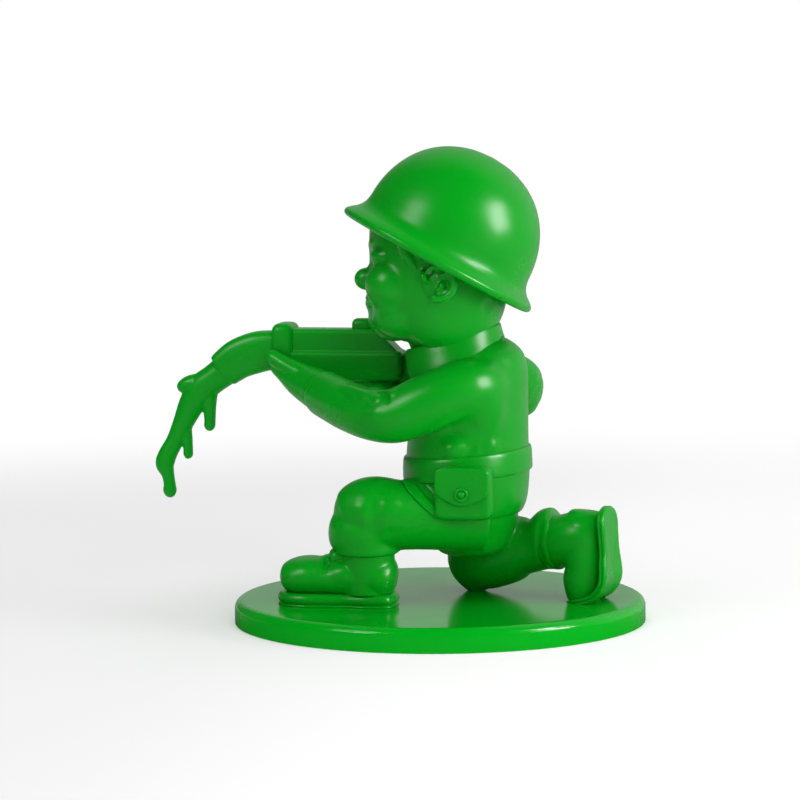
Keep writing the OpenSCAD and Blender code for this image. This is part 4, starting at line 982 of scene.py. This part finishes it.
# Smooth steps: each is the value it follows, its two edges and what it gives below and above them
def ramps(tree, rows, scale=1):
    return [addNode(tree, "MapRange", {"interpolation_type": "SMOOTHSTEP"},
                    span(*(edge * scale for edge in edges), low, high), {"Value": value}).outputs["Result"]
            for value, edges, low, high in rows]


# One where a ray of any of these kinds comes from, and zero elsewhere
def seenRay(tree, *kinds):
    path = addNode(tree, "LightPath")
    seen = path.outputs[kinds[0]]
    for kind in kinds[1:]:
        seen = addNode(tree, "Math", {"operation": "MAXIMUM"},
                       links={0: seen, 1: path.outputs[kind]}).outputs[0]
    return seen


def makeFloor(s):
    bpy.ops.mesh.primitive_plane_add(size=s["floor"] * mm, location=(0, 0, 0))
    piece = bpy.context.object
    piece.name = "floor"
    material, tree, place = startMaterial("paleFloor")
    paper, bounce = [addNode(tree, "BsdfDiffuse", values={"Color": colour(s[key])}).outputs[0]
                     for key in ("paper", "bounce")]
    # Rays from the figure see the "bounce" paper with a glow of strength "below" added: painted light that
    # lights the figure from underneath
    below = addNode(tree, "Emission", values={"Color": white, "Strength": s["below"]}).outputs[0]
    bounce = addNode(tree, "AddShader", links={0: bounce, 1: below}).outputs[0]
    split = addNode(tree, "SeparateXYZ", links={0: place})
    far = addNode(tree, "VectorMath", {"operation": "LENGTH"}, links={0: place}).outputs["Value"]
    behind, beside, fade, mirror = ramps(tree, (
        (split.outputs["Y"], s["glowEdges"], *s["glow"]),
        (split.outputs["X"], s["rightGlowEdges"], 0, s["rightGlow"]), (far, s["fadeEdges"], 0, 1),
        (split.outputs["Y"], s["floorEdges"], s["mirrorFront"], s["mirrorBack"])), mm)
    glow = addNode(tree, "Math", {"operation": "ADD"}, links={0: behind, 1: beside}).outputs[0]
    glowing, plain, mirrored = [
        addNode(tree, "Emission", values={"Color": white}, links=strength).outputs[0]
        for strength in ({"Strength": glow}, {}, {"Strength": mirror})]
    lit = addNode(tree, "AddShader", links={0: paper, 1: glowing}).outputs[0]
    seen = addNode(tree, "MixShader", links={0: fade, 1: lit, 2: plain}).outputs[0]
    unseen = addNode(tree, "MixShader", links={
        0: seenRay(tree, "Is Glossy Ray", "Is Transmission Ray"), 1: bounce, 2: mirrored}).outputs[0]
    both = addNode(tree, "MixShader", links={
        0: seenRay(tree, "Is Camera Ray"), 1: unseen, 2: seen}).outputs[0]
    addNode(tree, "OutputMaterial", links={"Surface": both})
    material.cycles.emission_sampling = "NONE"
    piece.data.materials.append(material)


makeFloor(studio)


def makeWorld(s):
    world = bpy.data.worlds.new("studioWorld")
    bpy.context.scene.world = world
    world.use_nodes = True
    world.cycles.sampling_method = "NONE"
    tree = world.node_tree
    tree.nodes.clear()
    way = addNode(tree, "TexCoord").outputs["Generated"]
    split = addNode(tree, "SeparateXYZ", links={0: way})
    room, left, right = ramps(tree, (
        (split.outputs["Y"], s["mirrorEdges"], s["mirrorFront"], s["mirrorBack"]),
        (split.outputs["X"], s["leftEdges"], s["leftDim"], 1),
        (split.outputs["X"], s["rightEdges"], 1, s["rightBright"])))
    for share in (left, right):
        room = addNode(tree, "Math", {"operation": "MULTIPLY"}, links={0: room, 1: share}).outputs[0]
    mirrored = addNode(tree, "Mix", {"data_type": "FLOAT"}, {"A": s["all"]}, {
        "Factor": seenRay(tree, "Is Glossy Ray", "Is Transmission Ray"), "B": room})
    strength = addNode(tree, "Mix", {"data_type": "FLOAT"}, {"B": 1.0},
                       {"Factor": seenRay(tree, "Is Camera Ray"), "A": mirrored.outputs["Result"]})
    back = addNode(tree, "Background", values={"Color": white},
                   links={"Strength": strength.outputs["Result"]})
    addNode(tree, "OutputWorld", links={"Surface": back.outputs[0]})


makeWorld(studio)

# Each lamp: where it hangs, what it points at, its width and height, its power and whether it makes
# gloss or plain light
lamps = {
    "shineRight": ((940, -200, 480), (0, 0, 110), 400, 520, 10, "gloss"),
    "shineLeft": ((-680, -770, 770), (0, 0, 95), 480, 480, 3.8, "gloss"),
    "plainTop": ((0, 100, 1500), (0, 100, 0), 1800, 1800, 14, "plain"),
    "plainFront": ((1074, -1478, 874), (0, 0, 60), 900, 900, 9, "plain"),
    "plainRight": ((1500, -300, 200), (0, 0, 80), 1200, 1200, 20, "plain"),
    "plainLeft": ((-500, -1100, 1200), (0, 0, 60), 1200, 1200, 7, "plain")}


def addLamp(name, place, target, width, height, power, kind):
    bpy.ops.object.light_add(type="AREA", location=[c * mm for c in place])
    lamp = bpy.context.object
    lamp.name = name
    lamp.data.shape = "RECTANGLE"
    lamp.data.size, lamp.data.size_y = width * mm, height * mm
    lamp.data.energy = power
    lamp.visible_diffuse = kind == "plain"
    lamp.visible_glossy = kind == "gloss"
    lamp.data.cycles.use_multiple_importance_sampling = False
    lamp.rotation_euler = (Vector(target) - Vector(place)).to_track_quat("-Z", "Y").to_euler()


for name, values in lamps.items():
    addLamp(name, *values)
bpy.context.scene.view_settings.view_transform = "Standard"
print("studio lit")
